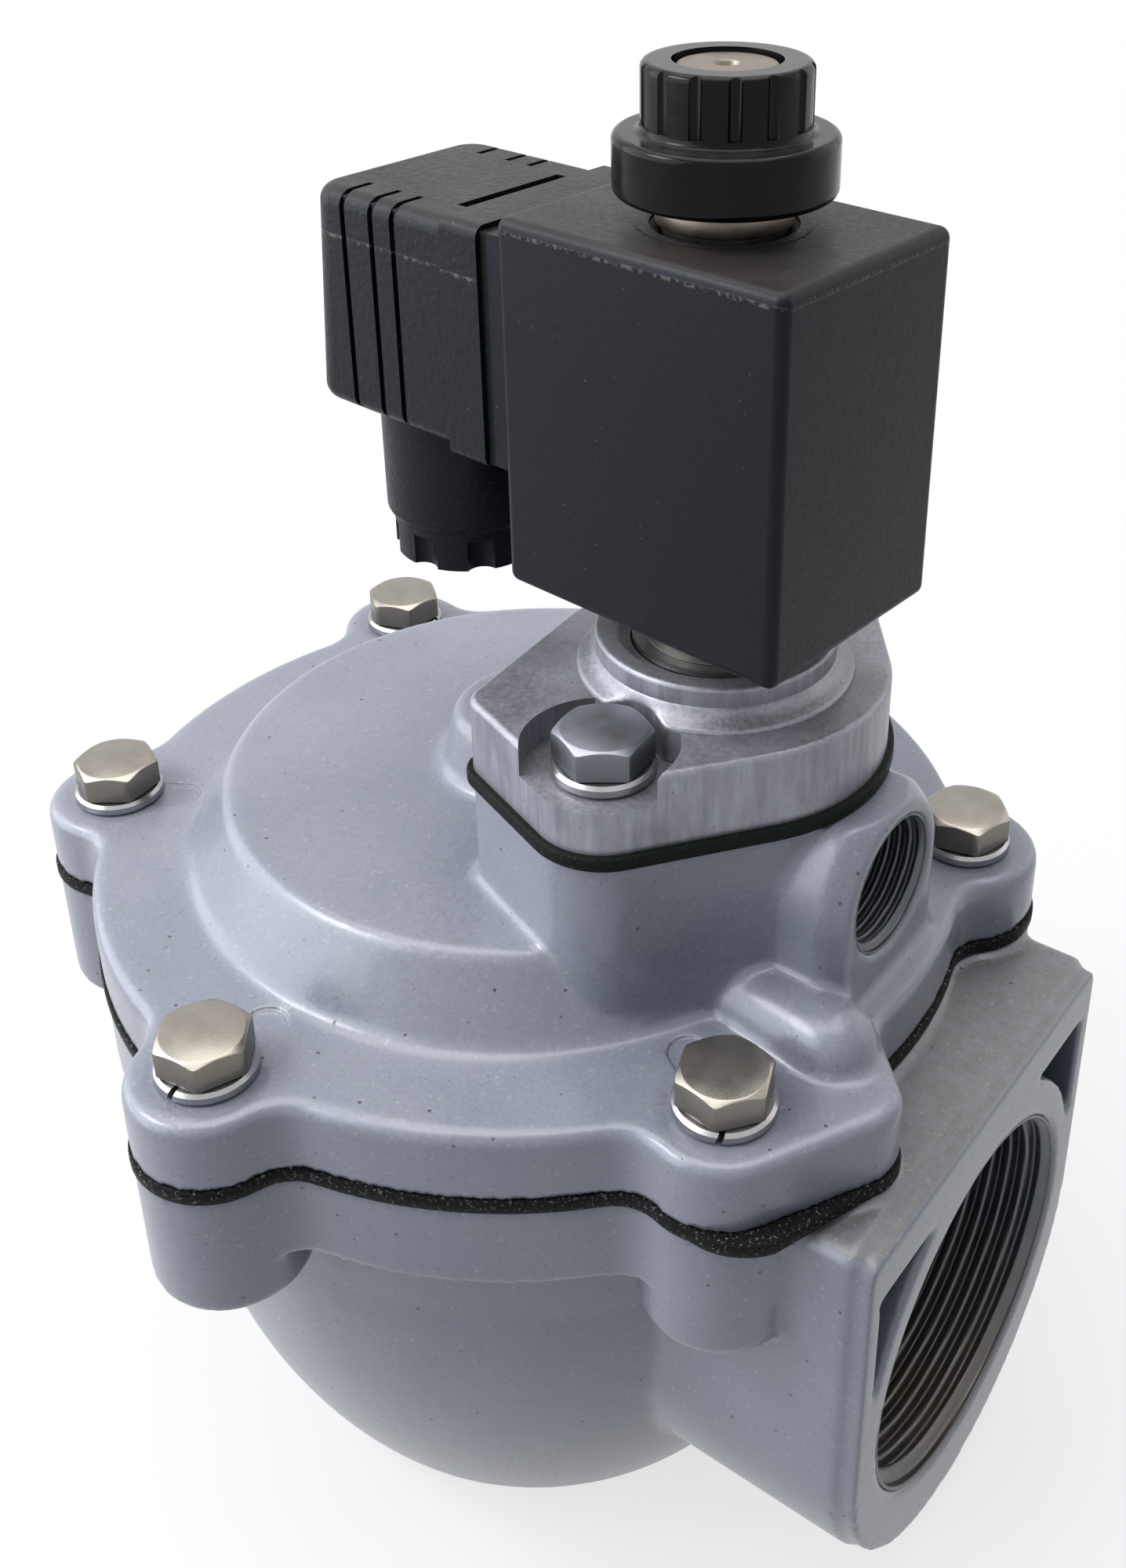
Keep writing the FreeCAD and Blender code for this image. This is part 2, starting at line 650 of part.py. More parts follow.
def ear_corner(e, m, z0, z1):
    """Hollow corner between an ear and the flange."""
    if not upright(e):
        return False
    r = math.hypot(m.x, m.y)
    mid = (z0 + z1) / 2
    return abs(m.z - mid) < (z1 - z0) / 2 and 50 < r < 62


# Body casting: bowl, bolt columns, inlet box, chamber and nozzle
body = new_body("body")
bowl = poly(sketch(body, "bowl", "XZ_Plane"),
            [(0, 0), (foot_r, 0), (bowl_r, bowl_z), (bowl_top_r, joint_z - body_flange_t),
             (bowl_top_r, joint_z), (0, joint_z)], {1: (bowl_curve_r, -1)})
turn(body, bowl, "bowl_turn")
lobed(body, "flange", joint_z - body_flange_t, body_flange_t)
fillet(body, lobe_blend_r,
       lambda e, m: ear_corner(e, m, joint_z.num - body_flange_t.num, joint_z.num), "ear_blends")
col = sketch(body, "column", "XY_Plane", joint_z - column_len)
circle(col, lobe_r, bolt_circle_r * cosq(30), bolt_circle_r * sinq(30))
col_pad = pad(body, col, column_len, "column_pad")
cols = body.newObject("PartDesign::PolarPattern", "columns")
cols.Originals = [col_pad]
cols.Axis = (col, ["N_Axis"])
cols.Angle = 360
cols.Occurrences = 6
body.Tip = cols
box_top = joint_z - inlet_drop
box_arc_z = inlet_z - box_arc_drop
port = sketch(body, "inlet_box", "YZ_Plane")
poly(port, [(inlet_half, box_arc_z), (inlet_half, box_top), (-inlet_half, box_top), (-inlet_half, box_arc_z)],
     {3: (inlet_half, -1, box_arc_z)})
pad(body, port, inlet_face_x - lip_len, "inlet_box_pad")
lip = sketch(body, "inlet_lip", "YZ_Plane", inlet_face_x - lip_len)
poly(lip, [(inlet_half - lip_step, box_arc_z), (inlet_half - lip_step, box_top - lip_step),
           (lip_step - inlet_half, box_top - lip_step), (lip_step - inlet_half, box_arc_z)],
     {3: (inlet_half - lip_step, -1, box_arc_z)})
pad(body, lip, lip_len, "inlet_lip_pad")
fillet(body, box_corner_r,
       lambda e, m: e.Curve.TypeId == "Part::GeomLine" and abs(e.Curve.Direction.x) > 0.999
       and m.z > box_top.num - 1 and m.x > 55 and abs(abs(m.y) - inlet_half.num) < 1, "box_corners")
# Inlet chamber round the nozzle
cave = poly(sketch(body, "chamber", "XZ_Plane"),
            [(nozzle_base_r, chamber_floor_z), (chamber_low_r, chamber_floor_z),
             (chamber_r, chamber_knee_z), (chamber_r, joint_z), (0, joint_z),
             (0, seat_z), (nozzle_top_r, seat_z)])
turn(body, cave, "chamber_turn", True)
outlet = poly(sketch(body, "outlet", "XZ_Plane"),
              [(0, 0), (port_thread_r, 0), (port_thread_r, port_thread_len),
               (nozzle_bore_r, port_thread_len + mouth_len * 2),
               (nozzle_bore_r, seat_z), (0, seat_z)])
turn(body, outlet, "outlet_turn", True)
inlet = sketch(body, "inlet_bore", "YZ_Plane", inlet_face_x - port_thread_len - 7)
circle(inlet, nozzle_bore_r, 0, inlet_z)
pocket(body, inlet, port_thread_len + 7, "inlet_bore_cut", back=True)
tap = sketch(body, "inlet_thread", "YZ_Plane", inlet_face_x - port_thread_len)
circle(tap, port_thread_r, 0, inlet_z)
pocket(body, tap, port_thread_len, "inlet_thread_cut", back=True)
for side in (1, -1):
    low = quantity(side) * (inlet_half - core_wall)
    near = quantity(side) * 13
    corner = sketch(body, "core_pocket_%d" % (2 + side), "YZ_Plane", inlet_face_x - core_depth)
    top = box_top - core_top_wall
    pts = [(near, top), (low, top), (low, inlet_z + 7)]
    if side < 0:
        poly(corner, [pts[0], pts[2], pts[1]], {0: (core_ring_r, -1)})
    else:
        poly(corner, pts, {2: (core_ring_r, -1)})
    pocket(body, corner, core_depth, "core_cut_%d" % (2 + side), back=True)
mouth = sketch(body, "inlet_mouth", "YZ_Plane", inlet_face_x - mouth_len)
circle(mouth, (port_mouth_r + port_thread_r) / 2, 0, inlet_z)
pocket(body, mouth, mouth_len, "inlet_mouth_cut", back=True)
# Tapped bolt holes and the bleed drilling
hole_depth = bolt_len - bonnet_flange_t - dia_t - lock_t + spot_t + hole_spare
hole = sketch(body, "tapped_hole", "XY_Plane", joint_z - hole_depth)
circle(hole, bolt_r + thread_gap, bolt_circle_r * cosq(30), bolt_circle_r * sinq(30))
hole_cut = pocket(body, hole, hole_depth, "tapped_hole_cut", back=True)
holes = body.newObject("PartDesign::PolarPattern", "tapped_holes")
holes.Originals = [hole_cut]
holes.Axis = (hole, ["N_Axis"])
holes.Angle = 360
holes.Occurrences = 6
body.Tip = holes
bleed = sketch(body, "bleed", "XY_Plane", inlet_z + port_thread_r / 2)
circle(bleed, bleed_r, bleed_x, -bleed_y)
pocket(body, bleed, joint_z - inlet_z, "bleed_cut", back=True)
fillet(body, edge_round,
       lambda e, m: m.z < joint_z.num - body_flange_t.num - 2 and e.Curve.TypeId == "Part::GeomCircle"
       and abs(e.Curve.Radius - lobe_r.num) < 0.01 and abs(m.z - joint_z.num + column_len.num) < 0.01,
       "column_feet")

# Bonnet casting: flange, dome, spring boss, pilot block, exhaust boss, ridge
bonnet = new_body("bonnet")
lobed(bonnet, "cover", bonnet_z, bonnet_flange_t)
fillet(bonnet, lobe_blend_r,
       lambda e, m: ear_corner(e, m, bonnet_z.num, deck_z.num), "cover_blends")
fillet(bonnet, edge_round,
       lambda e, m: abs(m.z - deck_z.num) < 0.01 and e.Length > 1, "cover_edge")
ridge = sketch(bonnet, "ridge", "XY_Plane", deck_z - 1)
hull(ridge, [(bleed_in_x, -bleed_in_y, ridge_r), (ridge_end_x, -riser_out_y, ridge_r)])
pad(bonnet, ridge, ridge_r + 1, "ridge_pad")
fillet(bonnet, ridge_r - 0.3,
       lambda e, m: abs(m.z - deck_z.num - ridge_r.num) < 0.01, "ridge_round")
dome = poly(sketch(bonnet, "dome", "XZ_Plane"),
            [(0, bonnet_z), (dome_base_r, bonnet_z), (dome_base_r, deck_z), (dome_top_r, dome_z),
             (spring_boss_r, dome_z), (spring_boss_top_r, dome_z + spring_boss_h),
             (0, dome_z + spring_boss_h)])
turn(bonnet, dome, "dome_turn")
fillet(bonnet, dome_round,
       lambda e, m: e.Curve.TypeId == "Part::GeomCircle" and m.z > deck_z.num - 0.01
       and (abs(e.Curve.Radius - dome_base_r.num) < 0.01 or abs(e.Curve.Radius - dome_top_r.num) < 0.01
            or abs(e.Curve.Radius - spring_boss_r.num) < 0.01
            or abs(e.Curve.Radius - spring_boss_top_r.num) < 0.01), "dome_edges")
block = sketch(bonnet, "block", "XY_Plane", deck_z)
hull(block, PILOT)
pad(bonnet, block, block_h, "block_pad")
arch_z = deck_z + exhaust_up
arch = sketch(bonnet, "exhaust_boss", "YZ_Plane", pilot_x)
poly(arch, [(-exhaust_boss_r, deck_z - 1), (exhaust_boss_r, deck_z - 1),
            (exhaust_boss_r, arch_z), (-exhaust_boss_r, arch_z)], {2: (exhaust_boss_r, -1, arch_z)})
pad(bonnet, arch, exhaust_x - pilot_x - exhaust_round, "exhaust_boss_pad")
front = sketch(bonnet, "exhaust_front", "YZ_Plane", exhaust_x - exhaust_round)
poly(front, [(-exhaust_boss_r, deck_z - 5), (exhaust_boss_r, deck_z - 5),
             (exhaust_boss_r, arch_z), (-exhaust_boss_r, arch_z)], {2: (exhaust_boss_r, -1, arch_z)})
front_pad = pad(bonnet, front, exhaust_round, "exhaust_front_pad")
front_pad.TaperAngle = -38
level = sketch(bonnet, "block_level", "XY_Plane", block_z)
poly(level, [(pilot_x, -exhaust_boss_r), (exhaust_x + 1, -exhaust_boss_r),
             (exhaust_x + 1, exhaust_boss_r), (pilot_x, exhaust_boss_r)])
pocket(bonnet, level, exhaust_boss_r, "block_level_cut", back=True)

# Bonnet chamber, spring pocket, exhaust chamber and pilot seat
under = poly(sketch(bonnet, "cover_chamber", "XZ_Plane"),
             [(0, bonnet_z - 1), (cave_r, bonnet_z - 1), (cave_r, bonnet_z), (cave_top_r, roof_z),
              (spring_pocket_r, roof_z), (spring_pocket_r, dome_z + spring_boss_h - boss_roof),
              (0, dome_z + spring_boss_h - boss_roof)])
turn(bonnet, under, "cover_chamber_turn", True)
vent = sketch(bonnet, "vent", "XY_Plane", deck_z + vent_floor)
circle(vent, vent_r, pilot_x, 0)
circle(vent, pilot_seat_r, pilot_x, 0)
pocket(bonnet, vent, block_h - vent_floor, "vent_cut", back=True)
seat = sketch(bonnet, "pilot_seat", "XY_Plane", deck_z + pilot_seat_up)
circle(seat, vent_r, pilot_x, 0)
pocket(bonnet, seat, block_h - pilot_seat_up, "pilot_seat_cut", back=True)
way = sketch(bonnet, "pilot_way", "XY_Plane", roof_z - 3)
circle(way, pilot_bore_r, pilot_x, 0)
pocket(bonnet, way, block_h + bonnet_flange_t, "pilot_way_cut", back=True)
ex = sketch(bonnet, "exhaust_thread", "YZ_Plane", exhaust_x - exhaust_len)
circle(ex, exhaust_thread_r, 0, arch_z)
pocket(bonnet, ex, exhaust_len, "exhaust_thread_cut", back=True)
exm = sketch(bonnet, "exhaust_mouth", "YZ_Plane", exhaust_x - mouth_len / 2)
circle(exm, exhaust_mouth_r, 0, arch_z)
pocket(bonnet, exm, mouth_len, "exhaust_mouth_cut", back=True)
# Bleed: up through the flange, in under the ridge, up through the block
rise = sketch(bonnet, "bleed_up", "XY_Plane", bonnet_z)
circle(rise, bleed_r, bleed_x, -bleed_y)
pocket(bonnet, rise, bonnet_flange_t + bleed_r, "bleed_up_cut", back=True)
run = sketch(bonnet, "bleed_run", "XY_Plane", deck_z - bleed_r)
hull(run, [(bleed_in_x, -bleed_in_y, bleed_r), (bleed_x, -bleed_y, bleed_r)])
pocket(bonnet, run, bleed_r * 2, "bleed_run_cut", back=True)
rise2 = sketch(bonnet, "bleed_riser", "XY_Plane", deck_z)
circle(rise2, bleed_r, bleed_in_x, -bleed_in_y)
pocket(bonnet, rise2, block_h, "bleed_riser_cut", back=True)
# Bolt holes with their spot faces and the marks that run in from them
bx = bolt_circle_r * cosq(30)
by = bolt_circle_r * sinq(30)
thru = sketch(bonnet, "bolt_hole", "XY_Plane", bonnet_z)
circle(thru, bolt_r + clear_gap, bx, by)
thru_cut = pocket(bonnet, thru, bonnet_flange_t, "bolt_hole_cut", back=True)
spot = sketch(bonnet, "spot", "XY_Plane", deck_z - spot_t)
circle(spot, spot_r, bx, by)
spot_cut = pocket(bonnet, spot, spot_t, "spot_cut", back=True)
mark = sketch(bonnet, "mark", "XY_Plane", deck_z - spot_t)
mark_in = bolt_circle_r - mark_len
hull(mark, [(bx, by, mark_w / 2), (mark_in * cosq(30), mark_in * sinq(30), mark_w / 2)])
mark_cut = pocket(bonnet, mark, spot_t, "mark_cut", back=True)
ring6 = bonnet.newObject("PartDesign::PolarPattern", "bolt_holes")
ring6.Originals = [thru_cut, spot_cut, mark_cut]
ring6.Axis = (thru, ["N_Axis"])
ring6.Angle = 360
ring6.Occurrences = 6
bonnet.Tip = ring6
tap_depth = bolt_len - ear_t - gasket_t - lock_t + hole_spare
taps = sketch(bonnet, "pilot_taps", "XY_Plane", block_z - tap_depth)
circle(taps, bolt_r + thread_gap, ear_x, ear_y)
circle(taps, bolt_r + thread_gap, ear_x, -ear_y)
pocket(bonnet, taps, tap_depth, "pilot_taps_cut", back=True)

# Main diaphragm: a lobed sheet, clamped at its rim and dished to its flat middle
mid_z = seat_z + seat_pad_t + plate_sheet
dia = new_body("main_diaphragm")
lobed(dia, "sheet", joint_z, dia_t, dia_peek)
fillet(dia, lobe_blend_r - dia_peek,
       lambda e, m: ear_corner(e, m, joint_z.num, bonnet_z.num), "sheet_blends")
clear = sketch(dia, "sheet_middle", "XY_Plane", joint_z)
circle(clear, grip_r)
pocket(dia, clear, dia_t, "sheet_middle_cut", back=True)
dish = poly(sketch(dia, "dish", "XZ_Plane"),
            [(centre_screw_r + clear_gap, mid_z), (stack_r + 3, mid_z), (grip_r - 2, joint_z),
             (grip_r + 1, joint_z), (grip_r + 1, bonnet_z), (grip_r - 3, bonnet_z),
             (stack_r + 2, mid_z + dia_t), (centre_screw_r + clear_gap, mid_z + dia_t)])
turn(dia, dish, "dish_turn")
sheet_hole = sketch(dia, "sheet_hole", "XY_Plane", joint_z)
circle(sheet_hole, bolt_r + clear_gap, bx, by)
sheet_cut = pocket(dia, sheet_hole, dia_t, "sheet_hole_cut", back=True)
sheet_holes = dia.newObject("PartDesign::PolarPattern", "sheet_holes")
sheet_holes.Originals = [sheet_cut]
sheet_holes.Axis = (sheet_hole, ["N_Axis"])
sheet_holes.Angle = 360
sheet_holes.Occurrences = 6
dia.Tip = sheet_holes
way2 = sketch(dia, "sheet_bleed", "XY_Plane", joint_z)
circle(way2, bleed_r, bleed_x, -bleed_y)
pocket(dia, way2, dia_t, "sheet_bleed_cut", back=True)

# The stack that the main diaphragm carries
shaft_r = centre_screw_r + thread_gap
pad_z = seat_z
low_z = seat_z + seat_pad_t
up_z = mid_z + dia_t
pad_r_out = seat_pad_r - thread_gap
turned("main_seat_pad", [(shaft_r, pad_z), (pad_r_out, pad_z), (pad_r_out, low_z), (shaft_r, low_z)])
turned("diaphragm_lower_plate",
       [(shaft_r, low_z), (seat_pad_r, low_z), (seat_pad_r, low_z - plate_rim),
        (low_plate_r, low_z - plate_rim), (low_plate_r, mid_z), (shaft_r, mid_z)])
turned("diaphragm_upper_plate",
       [(shaft_r, up_z), (up_plate_r, up_z), (up_plate_r, up_z + plate_sheet + plate_rim),
        (up_plate_r - plate_sheet, up_z + plate_sheet + plate_rim),
        (up_plate_r - plate_sheet, up_z + plate_sheet), (plate_cup_r + 1, up_z + plate_sheet),
        (plate_cup_r + 1, up_z + plate_sheet + plate_rim), (plate_cup_r, up_z + plate_sheet + plate_rim),
        (plate_cup_r, up_z + plate_sheet), (shaft_r, up_z + plate_sheet)])
nut_z = up_z + plate_sheet
turned("centre_screw",
       [(0, pad_z - centre_head_t), (centre_head_r - 1, pad_z - centre_head_t), (centre_head_r, pad_z - 1),
        (centre_head_r, pad_z), (centre_screw_r, pad_z), (centre_screw_r, nut_z + centre_nut_h + 1),
        (0, nut_z + centre_nut_h + 1)])
hexn = prism("centre_nut_hex", centre_nut_af / 2 / cosq(30), centre_nut_h, 0, 0, nut_z)
node(cut("centre_nut", hexn, [cyl("centre_nut_hole", shaft_r, centre_nut_h + 2, 0, 0, nut_z - 1)]),
     "centre_nut")


def spring(label, r, w, turns, x, z0, z1):
    """Coil spring with its wire inside the two seats."""
    bottom = z0 + w
    hel = doc.addObject("Part::Helix", label + "_helix")
    bind(hel, "Radius", r)
    bind(hel, "Height", z1 - z0 - w * 2)
    bind(hel, "Pitch", (z1 - z0 - w * 2) / turns)
    ring = doc.addObject("Part::Circle", label + "_wire")
    bind(ring, "Radius", w)
    ring.Placement = FreeCAD.Placement(V3(r.num, 0, 0), FreeCAD.Rotation(V3(1, 0, 0), 90))
    ring.setExpression("Placement.Base.x", r.txt)
    sw = doc.addObject("Part::Sweep", label)
    sw.Sections = [ring]
    sw.Spine = (hel, ["Edge1"])
    sw.Solid = True
    sw.Frenet = True
    place(sw, x, 0, bottom)
    return node(sw, label)


spring("main_spring", main_coil_r, main_wire_r, main_turns, 0, nut_z, dome_z + spring_boss_h - boss_roof)


# Hexagon screws with their split washers
def hex_screw(label, x, y, under, turn_deg):
    """One screw: chamfered hexagon head and a plain shank."""
    head = prism(label + "_hex", bolt_af / 2 / cosq(30), bolt_head_h, 0, 0, 0)
    top = cone(label + "_dish", bolt_af * 0.84, bolt_af / 2 * 0.95, bolt_head_h, 0, 0, 0)
    both = common(label + "_head", head, top)
    shank = cyl(label + "_shank", bolt_r, bolt_len, 0, 0, -bolt_len)
    o = fuse(label, [both, shank])
    q = [quantity(v) for v in (x, y, under)]
    spin = FreeCAD.Rotation(V3(0, 0, 1), turn_deg)
    o.Placement = FreeCAD.Placement(V3(q[0].num, q[1].num, q[2].num), spin)
    for axis, v in zip("xyz", q):
        o.setExpression("Placement.Base." + axis, v.txt)
    return node(o, label)


def lock_washer(label, x, y, z, turn_deg):
    """Split spring washer; the split is cut on a slant."""
    ring = cut(label + "_ring", cyl(label + "_disc", lock_r, lock_t),
               [cyl(label + "_eye", bolt_r + thread_gap * 2, lock_t + 2, 0, 0, -1)])
    tilt = FreeCAD.Rotation(V3(1, 0, 0), 20)
    split = box(label + "_gap", 0, -lock_split / 2, -1, lock_r + 2, lock_split, lock_t + 2, tilt)
    o = cut(label, ring, [split])
    q = [quantity(v) for v in (x, y, z)]
    spin = FreeCAD.Rotation(V3(0, 0, 1), turn_deg)
    o.Placement = FreeCAD.Placement(V3(q[0].num, q[1].num, q[2].num), spin)
    for axis, v in zip("xyz", q):
        o.setExpression("Placement.Base." + axis, v.txt)
    return node(o, label)


spot_z = deck_z - spot_t
HEAD_TURN = [12, 4, 22, 37, 8, 52]
SPLIT_TURN = [80, 200, 15, 140, 275, -62]
for i in range(6):
    deg = 30 + 60 * i
    x = bolt_circle_r * cosq(deg)
    y = bolt_circle_r * sinq(deg)
    hex_screw("flange_bolt_%d" % (i + 1), x, y, spot_z + lock_t, HEAD_TURN[i])
    lock_washer("flange_lock_washer_%d" % (i + 1), x, y, spot_z, SPLIT_TURN[i])
ear_top = plate_z + ear_t
for i, yy in ((1, -ear_y), (2, quantity(ear_y))):
    hex_screw("pilot_bolt_%d" % i, ear_x, yy, ear_top + lock_t, 6 + 30 * i)
    lock_washer("pilot_lock_washer_%d" % i, ear_x, yy, ear_top, 100 * i)

# Pilot diaphragm: the black sheet under the pilot plate, dished to the pilot seat
psz = deck_z + pilot_seat_up
pd = new_body("pilot_diaphragm")
pdo = sketch(pd, "pilot_sheet", "XY_Plane", block_z)
hull(pdo, PILOT, gasket_peek)
pad(pd, pdo, gasket_t, "pilot_sheet_pad")
pdc = sketch(pd, "pilot_sheet_middle", "XY_Plane", block_z)
circle(pdc, vent_r, pilot_x, 0)
pocket(pd, pdc, gasket_t, "pilot_sheet_middle_cut", back=True)
pdh = sketch(pd, "pilot_sheet_holes", "XY_Plane", block_z)
circle(pdh, bolt_r + clear_gap, ear_x, ear_y)
circle(pdh, bolt_r + clear_gap, ear_x, -ear_y)
circle(pdh, bleed_r, bleed_in_x, -bleed_in_y)
pocket(pd, pdh, gasket_t, "pilot_sheet_holes_cut", back=True)
dish2 = sketch(pd, "pilot_dish", "XY_Plane", psz)
circle(dish2, pilot_flat_r + gasket_t, pilot_x, 0)
low_disc = pad(pd, dish2, gasket_t, "pilot_dish_pad")
wall = sketch(pd, "pilot_wall", "XY_Plane", psz)
circle(wall, pilot_flat_r + gasket_t, pilot_x, 0)
circle(wall, pilot_flat_r, pilot_x, 0)
pad(pd, wall, plate_z - psz, "pilot_wall_pad")
rim = sketch(pd, "pilot_rim", "XY_Plane", block_z)
circle(rim, vent_r, pilot_x, 0)
circle(rim, pilot_flat_r, pilot_x, 0)
pad(pd, rim, gasket_t, "pilot_rim_pad")
cup_z = psz + gasket_t
turned("pilot_cup", [(0, cup_z), (cup_r, cup_z), (cup_r, cup_z + cup_wall_h),
                     (cup_r - cup_t, cup_z + cup_wall_h), (cup_r - cup_t, cup_z + cup_t), (0, cup_z + cup_t)],
       x=pilot_x)
spring("pilot_spring", pilot_coil_r, pilot_wire_r, pilot_turns, pilot_x, cup_z + cup_t, plate_z + plate_cave)

# Pilot plate: machined cover with two milled screw seats and the tube boss
pp = new_body("pilot_plate")
ppo = sketch(pp, "plate_outline", "XY_Plane", plate_z)
hull(ppo, PILOT)
pad(pp, ppo, plate_t, "plate_pad")
fillet(pp, 0.8, lambda e, m: abs(m.z - plate_top.num) < 0.01, "plate_edge")
ppc = sketch(pp, "screw_seats", "XY_Plane", plate_z + ear_t)
circle(ppc, ear_cut_r, ear_x, -(ear_y + 0.6))
circle(ppc, ear_cut_r, ear_x, ear_y + 0.6)
pocket(pp, ppc, plate_t - ear_t, "screw_seats_cut", back=True)
ppb = circle_pad(pp, "plate_boss", plate_top - 2, plate_boss_h + 2, plate_boss_r, pilot_x, 0)
fillet(pp, 0.6, lambda e, m: abs(m.z - boss_top.num) < 0.01, "boss_edge")
ppr = sketch(pp, "boss_recess", "XY_Plane", recess_z)
circle(ppr, plate_recess_r, pilot_x, 0)
pocket(pp, ppr, plate_recess, "boss_recess_cut", back=True)
web_z = plate_z + plate_cave + plate_floor
ppt = sketch(pp, "tube_thread", "XY_Plane", web_z)
circle(ppt, tube_base_r + thread_gap, pilot_x, 0)
circle(ppt, orifice_seat_r, pilot_x, 0)
pocket(pp, ppt, recess_z - web_z, "tube_thread_cut", back=True)
ppn = sketch(pp, "orifice_seat", "XY_Plane", web_z + orifice_seat_h)
circle(ppn, tube_base_r, pilot_x, 0)
pocket(pp, ppn, recess_z - web_z - orifice_seat_h, "orifice_seat_cut", back=True)
ppv = sketch(pp, "plate_cave", "XY_Plane", plate_z)
circle(ppv, plate_cave_r, pilot_x, 0)
pocket(pp, ppv, plate_cave, "plate_cave_cut", back=True)
ppg = sketch(pp, "bleed_gallery", "XY_Plane", plate_z)
hull(ppg, [(bleed_in_x, -bleed_in_y, bleed_r), (pilot_x + plate_cave_r / 2, -plate_cave_r / 2, bleed_r)])
pocket(pp, ppg, bleed_r * 2, "bleed_gallery_cut", back=True)
ppd = sketch(pp, "orifice", "XY_Plane", plate_z)
circle(ppd, orifice_r, pilot_x, 0)
pocket(pp, ppd, plate_t, "orifice_cut", back=True)
pph = sketch(pp, "plate_holes", "XY_Plane", plate_z)
circle(pph, bolt_r + clear_gap, ear_x, ear_y)
circle(pph, bolt_r + clear_gap, ear_x, -ear_y)
pocket(pp, pph, ear_t, "plate_holes_cut", back=True)

# Armature tube, core, plunger
core_z = tube_top - core_len
turned("armature_tube",
       [(tube_bore_r, web_z + 0.5), (tube_base_r, web_z + 0.5), (tube_base_r, recess_z),
        (tube_collar_r, recess_z), (tube_collar_r, recess_z + tube_collar_h),
        (tube_neck_r, recess_z + tube_collar_h), (tube_neck_r, coil_z), (tube_r, coil_z),
        (tube_r, tube_top), (tube_bore_r, tube_top)], x=pilot_x)
node(torus("tube_ring", tube_collar_r + ring_wire, ring_wire, pilot_x, 0, recess_z + ring_wire),
     "tube_ring")
core_r = tube_bore_r - thread_gap
turned("fixed_core",
       [(0, core_z), (core_r, core_z), (core_r, tube_top + stud_top - 0.5),
        (core_r - 0.5, tube_top + stud_top), (1.4, tube_top + stud_top),
        (0.9, tube_top + stud_top - 1.2), (0, tube_top + stud_top - 1.6)], x=pilot_x)
seal_z = web_z + orifice_seat_h
plunger_z = seal_z + plug_seal_t - plug_seal_in
plunger_top = core_z - plunger_travel - plunger_air
plunger_r = tube_bore_r - plunger_gap
turned("plunger",
       [(0, plunger_z + plug_seal_in), (plug_seal_r, plunger_z + plug_seal_in), (plug_seal_r, plunger_z),
        (plunger_r, plunger_z), (plunger_r, plunger_top), (plunger_hole_r, plunger_top),
        (plunger_hole_r, plunger_top - plunger_hole), (0, plunger_top - plunger_hole)], x=pilot_x)
node(cyl("plunger_seal", plug_seal_r, plug_seal_t, pilot_x, 0, seal_z), "plunger_seal")
spring("plunger_spring", plunger_coil_r, plunger_wire_r, plunger_turns, pilot_x,
       plunger_top - plunger_hole, core_z)

# Coil: moulding, steel frame, bobbin, winding, blades. Local +X points to the plug.
coil_bore = tube_r + coil_gap
mid_plug = plug_z + plug_h / 2


def yawed(label):
    return new_body(label, pilot_x, 0, 0, yaw=coil_yaw)


def block_pad(b, name, x0, x1, half, z0, z1):
    s = sketch(b, name + "_side", "YZ_Plane", x0)
    poly(s, [(half, z0), (half, z1), (-half, z1), (-half, z0)])
    return pad(b, s, x1 - x0, name)


def block_cut(b, name, x0, x1, half, z0, z1):
    s = sketch(b, name + "_side", "YZ_Plane", x0)
    poly(s, [(half, z0), (half, z1), (-half, z1), (-half, z0)])
    return pocket(b, s, x1 - x0, name, back=True)


def hole_z(b, name, r, z0, z1, x=0):
    s = sketch(b, name + "_ring", "XY_Plane", z0)
    circle(s, r, x, 0)
    return pocket(b, s, z1 - z0, name, back=True)


ch = yawed("coil_housing")
block_pad(ch, "coil_block", -coil_front, coil_back, coil_half, coil_z, coil_top)
fillet(ch, coil_edge, lambda e, m: True, "coil_edges")
pad_half = plug_half
block_pad(ch, "coil_pad", coil_back - 0.5, coil_back + coil_pad_len, pad_half, plug_z, plug_z + plug_h)
in_x0 = coil_wall - coil_front
in_x1 = coil_back - coil_wall
block_cut(ch, "coil_cavity", in_x0, in_x1, coil_half - coil_wall, coil_z, coil_top - coil_roof)
hole_z(ch, "coil_bore_cut", coil_bore, coil_z, coil_top)
hole_z(ch, "top_ring_cut", top_ring_r, coil_top - top_ring_in, coil_top)
pad_x1 = coil_back + coil_pad_len
live = sketch(ch, "blade_slots", "YZ_Plane", pad_x1 - blade_in)
by0 = blade_pitch / 2 - blade_t / 2
by1 = blade_pitch / 2 + blade_t / 2
bz0 = mid_plug - blade_w / 2
bz1 = mid_plug + blade_w / 2
ez = mid_plug - blade_pitch / 2
poly(live, [(by0, bz0), (by1, bz0), (by1, bz1), (by0, bz1)])
poly(live, [(-by1, bz0), (-by0, bz0), (-by0, bz1), (-by1, bz1)])
poly(live, [(-blade_w / 2, ez - blade_t / 2), (blade_w / 2, ez - blade_t / 2),
            (blade_w / 2, ez + blade_t / 2), (-blade_w / 2, ez + blade_t / 2)])
pocket(ch, live, blade_in, "blade_slots_cut", back=True)
sc = sketch(ch, "screw_insert", "YZ_Plane", pad_x1 - 4)
circle(sc, long_screw_r + thread_gap, 0, mid_plug)
pocket(ch, sc, 4, "screw_insert_cut", back=True)

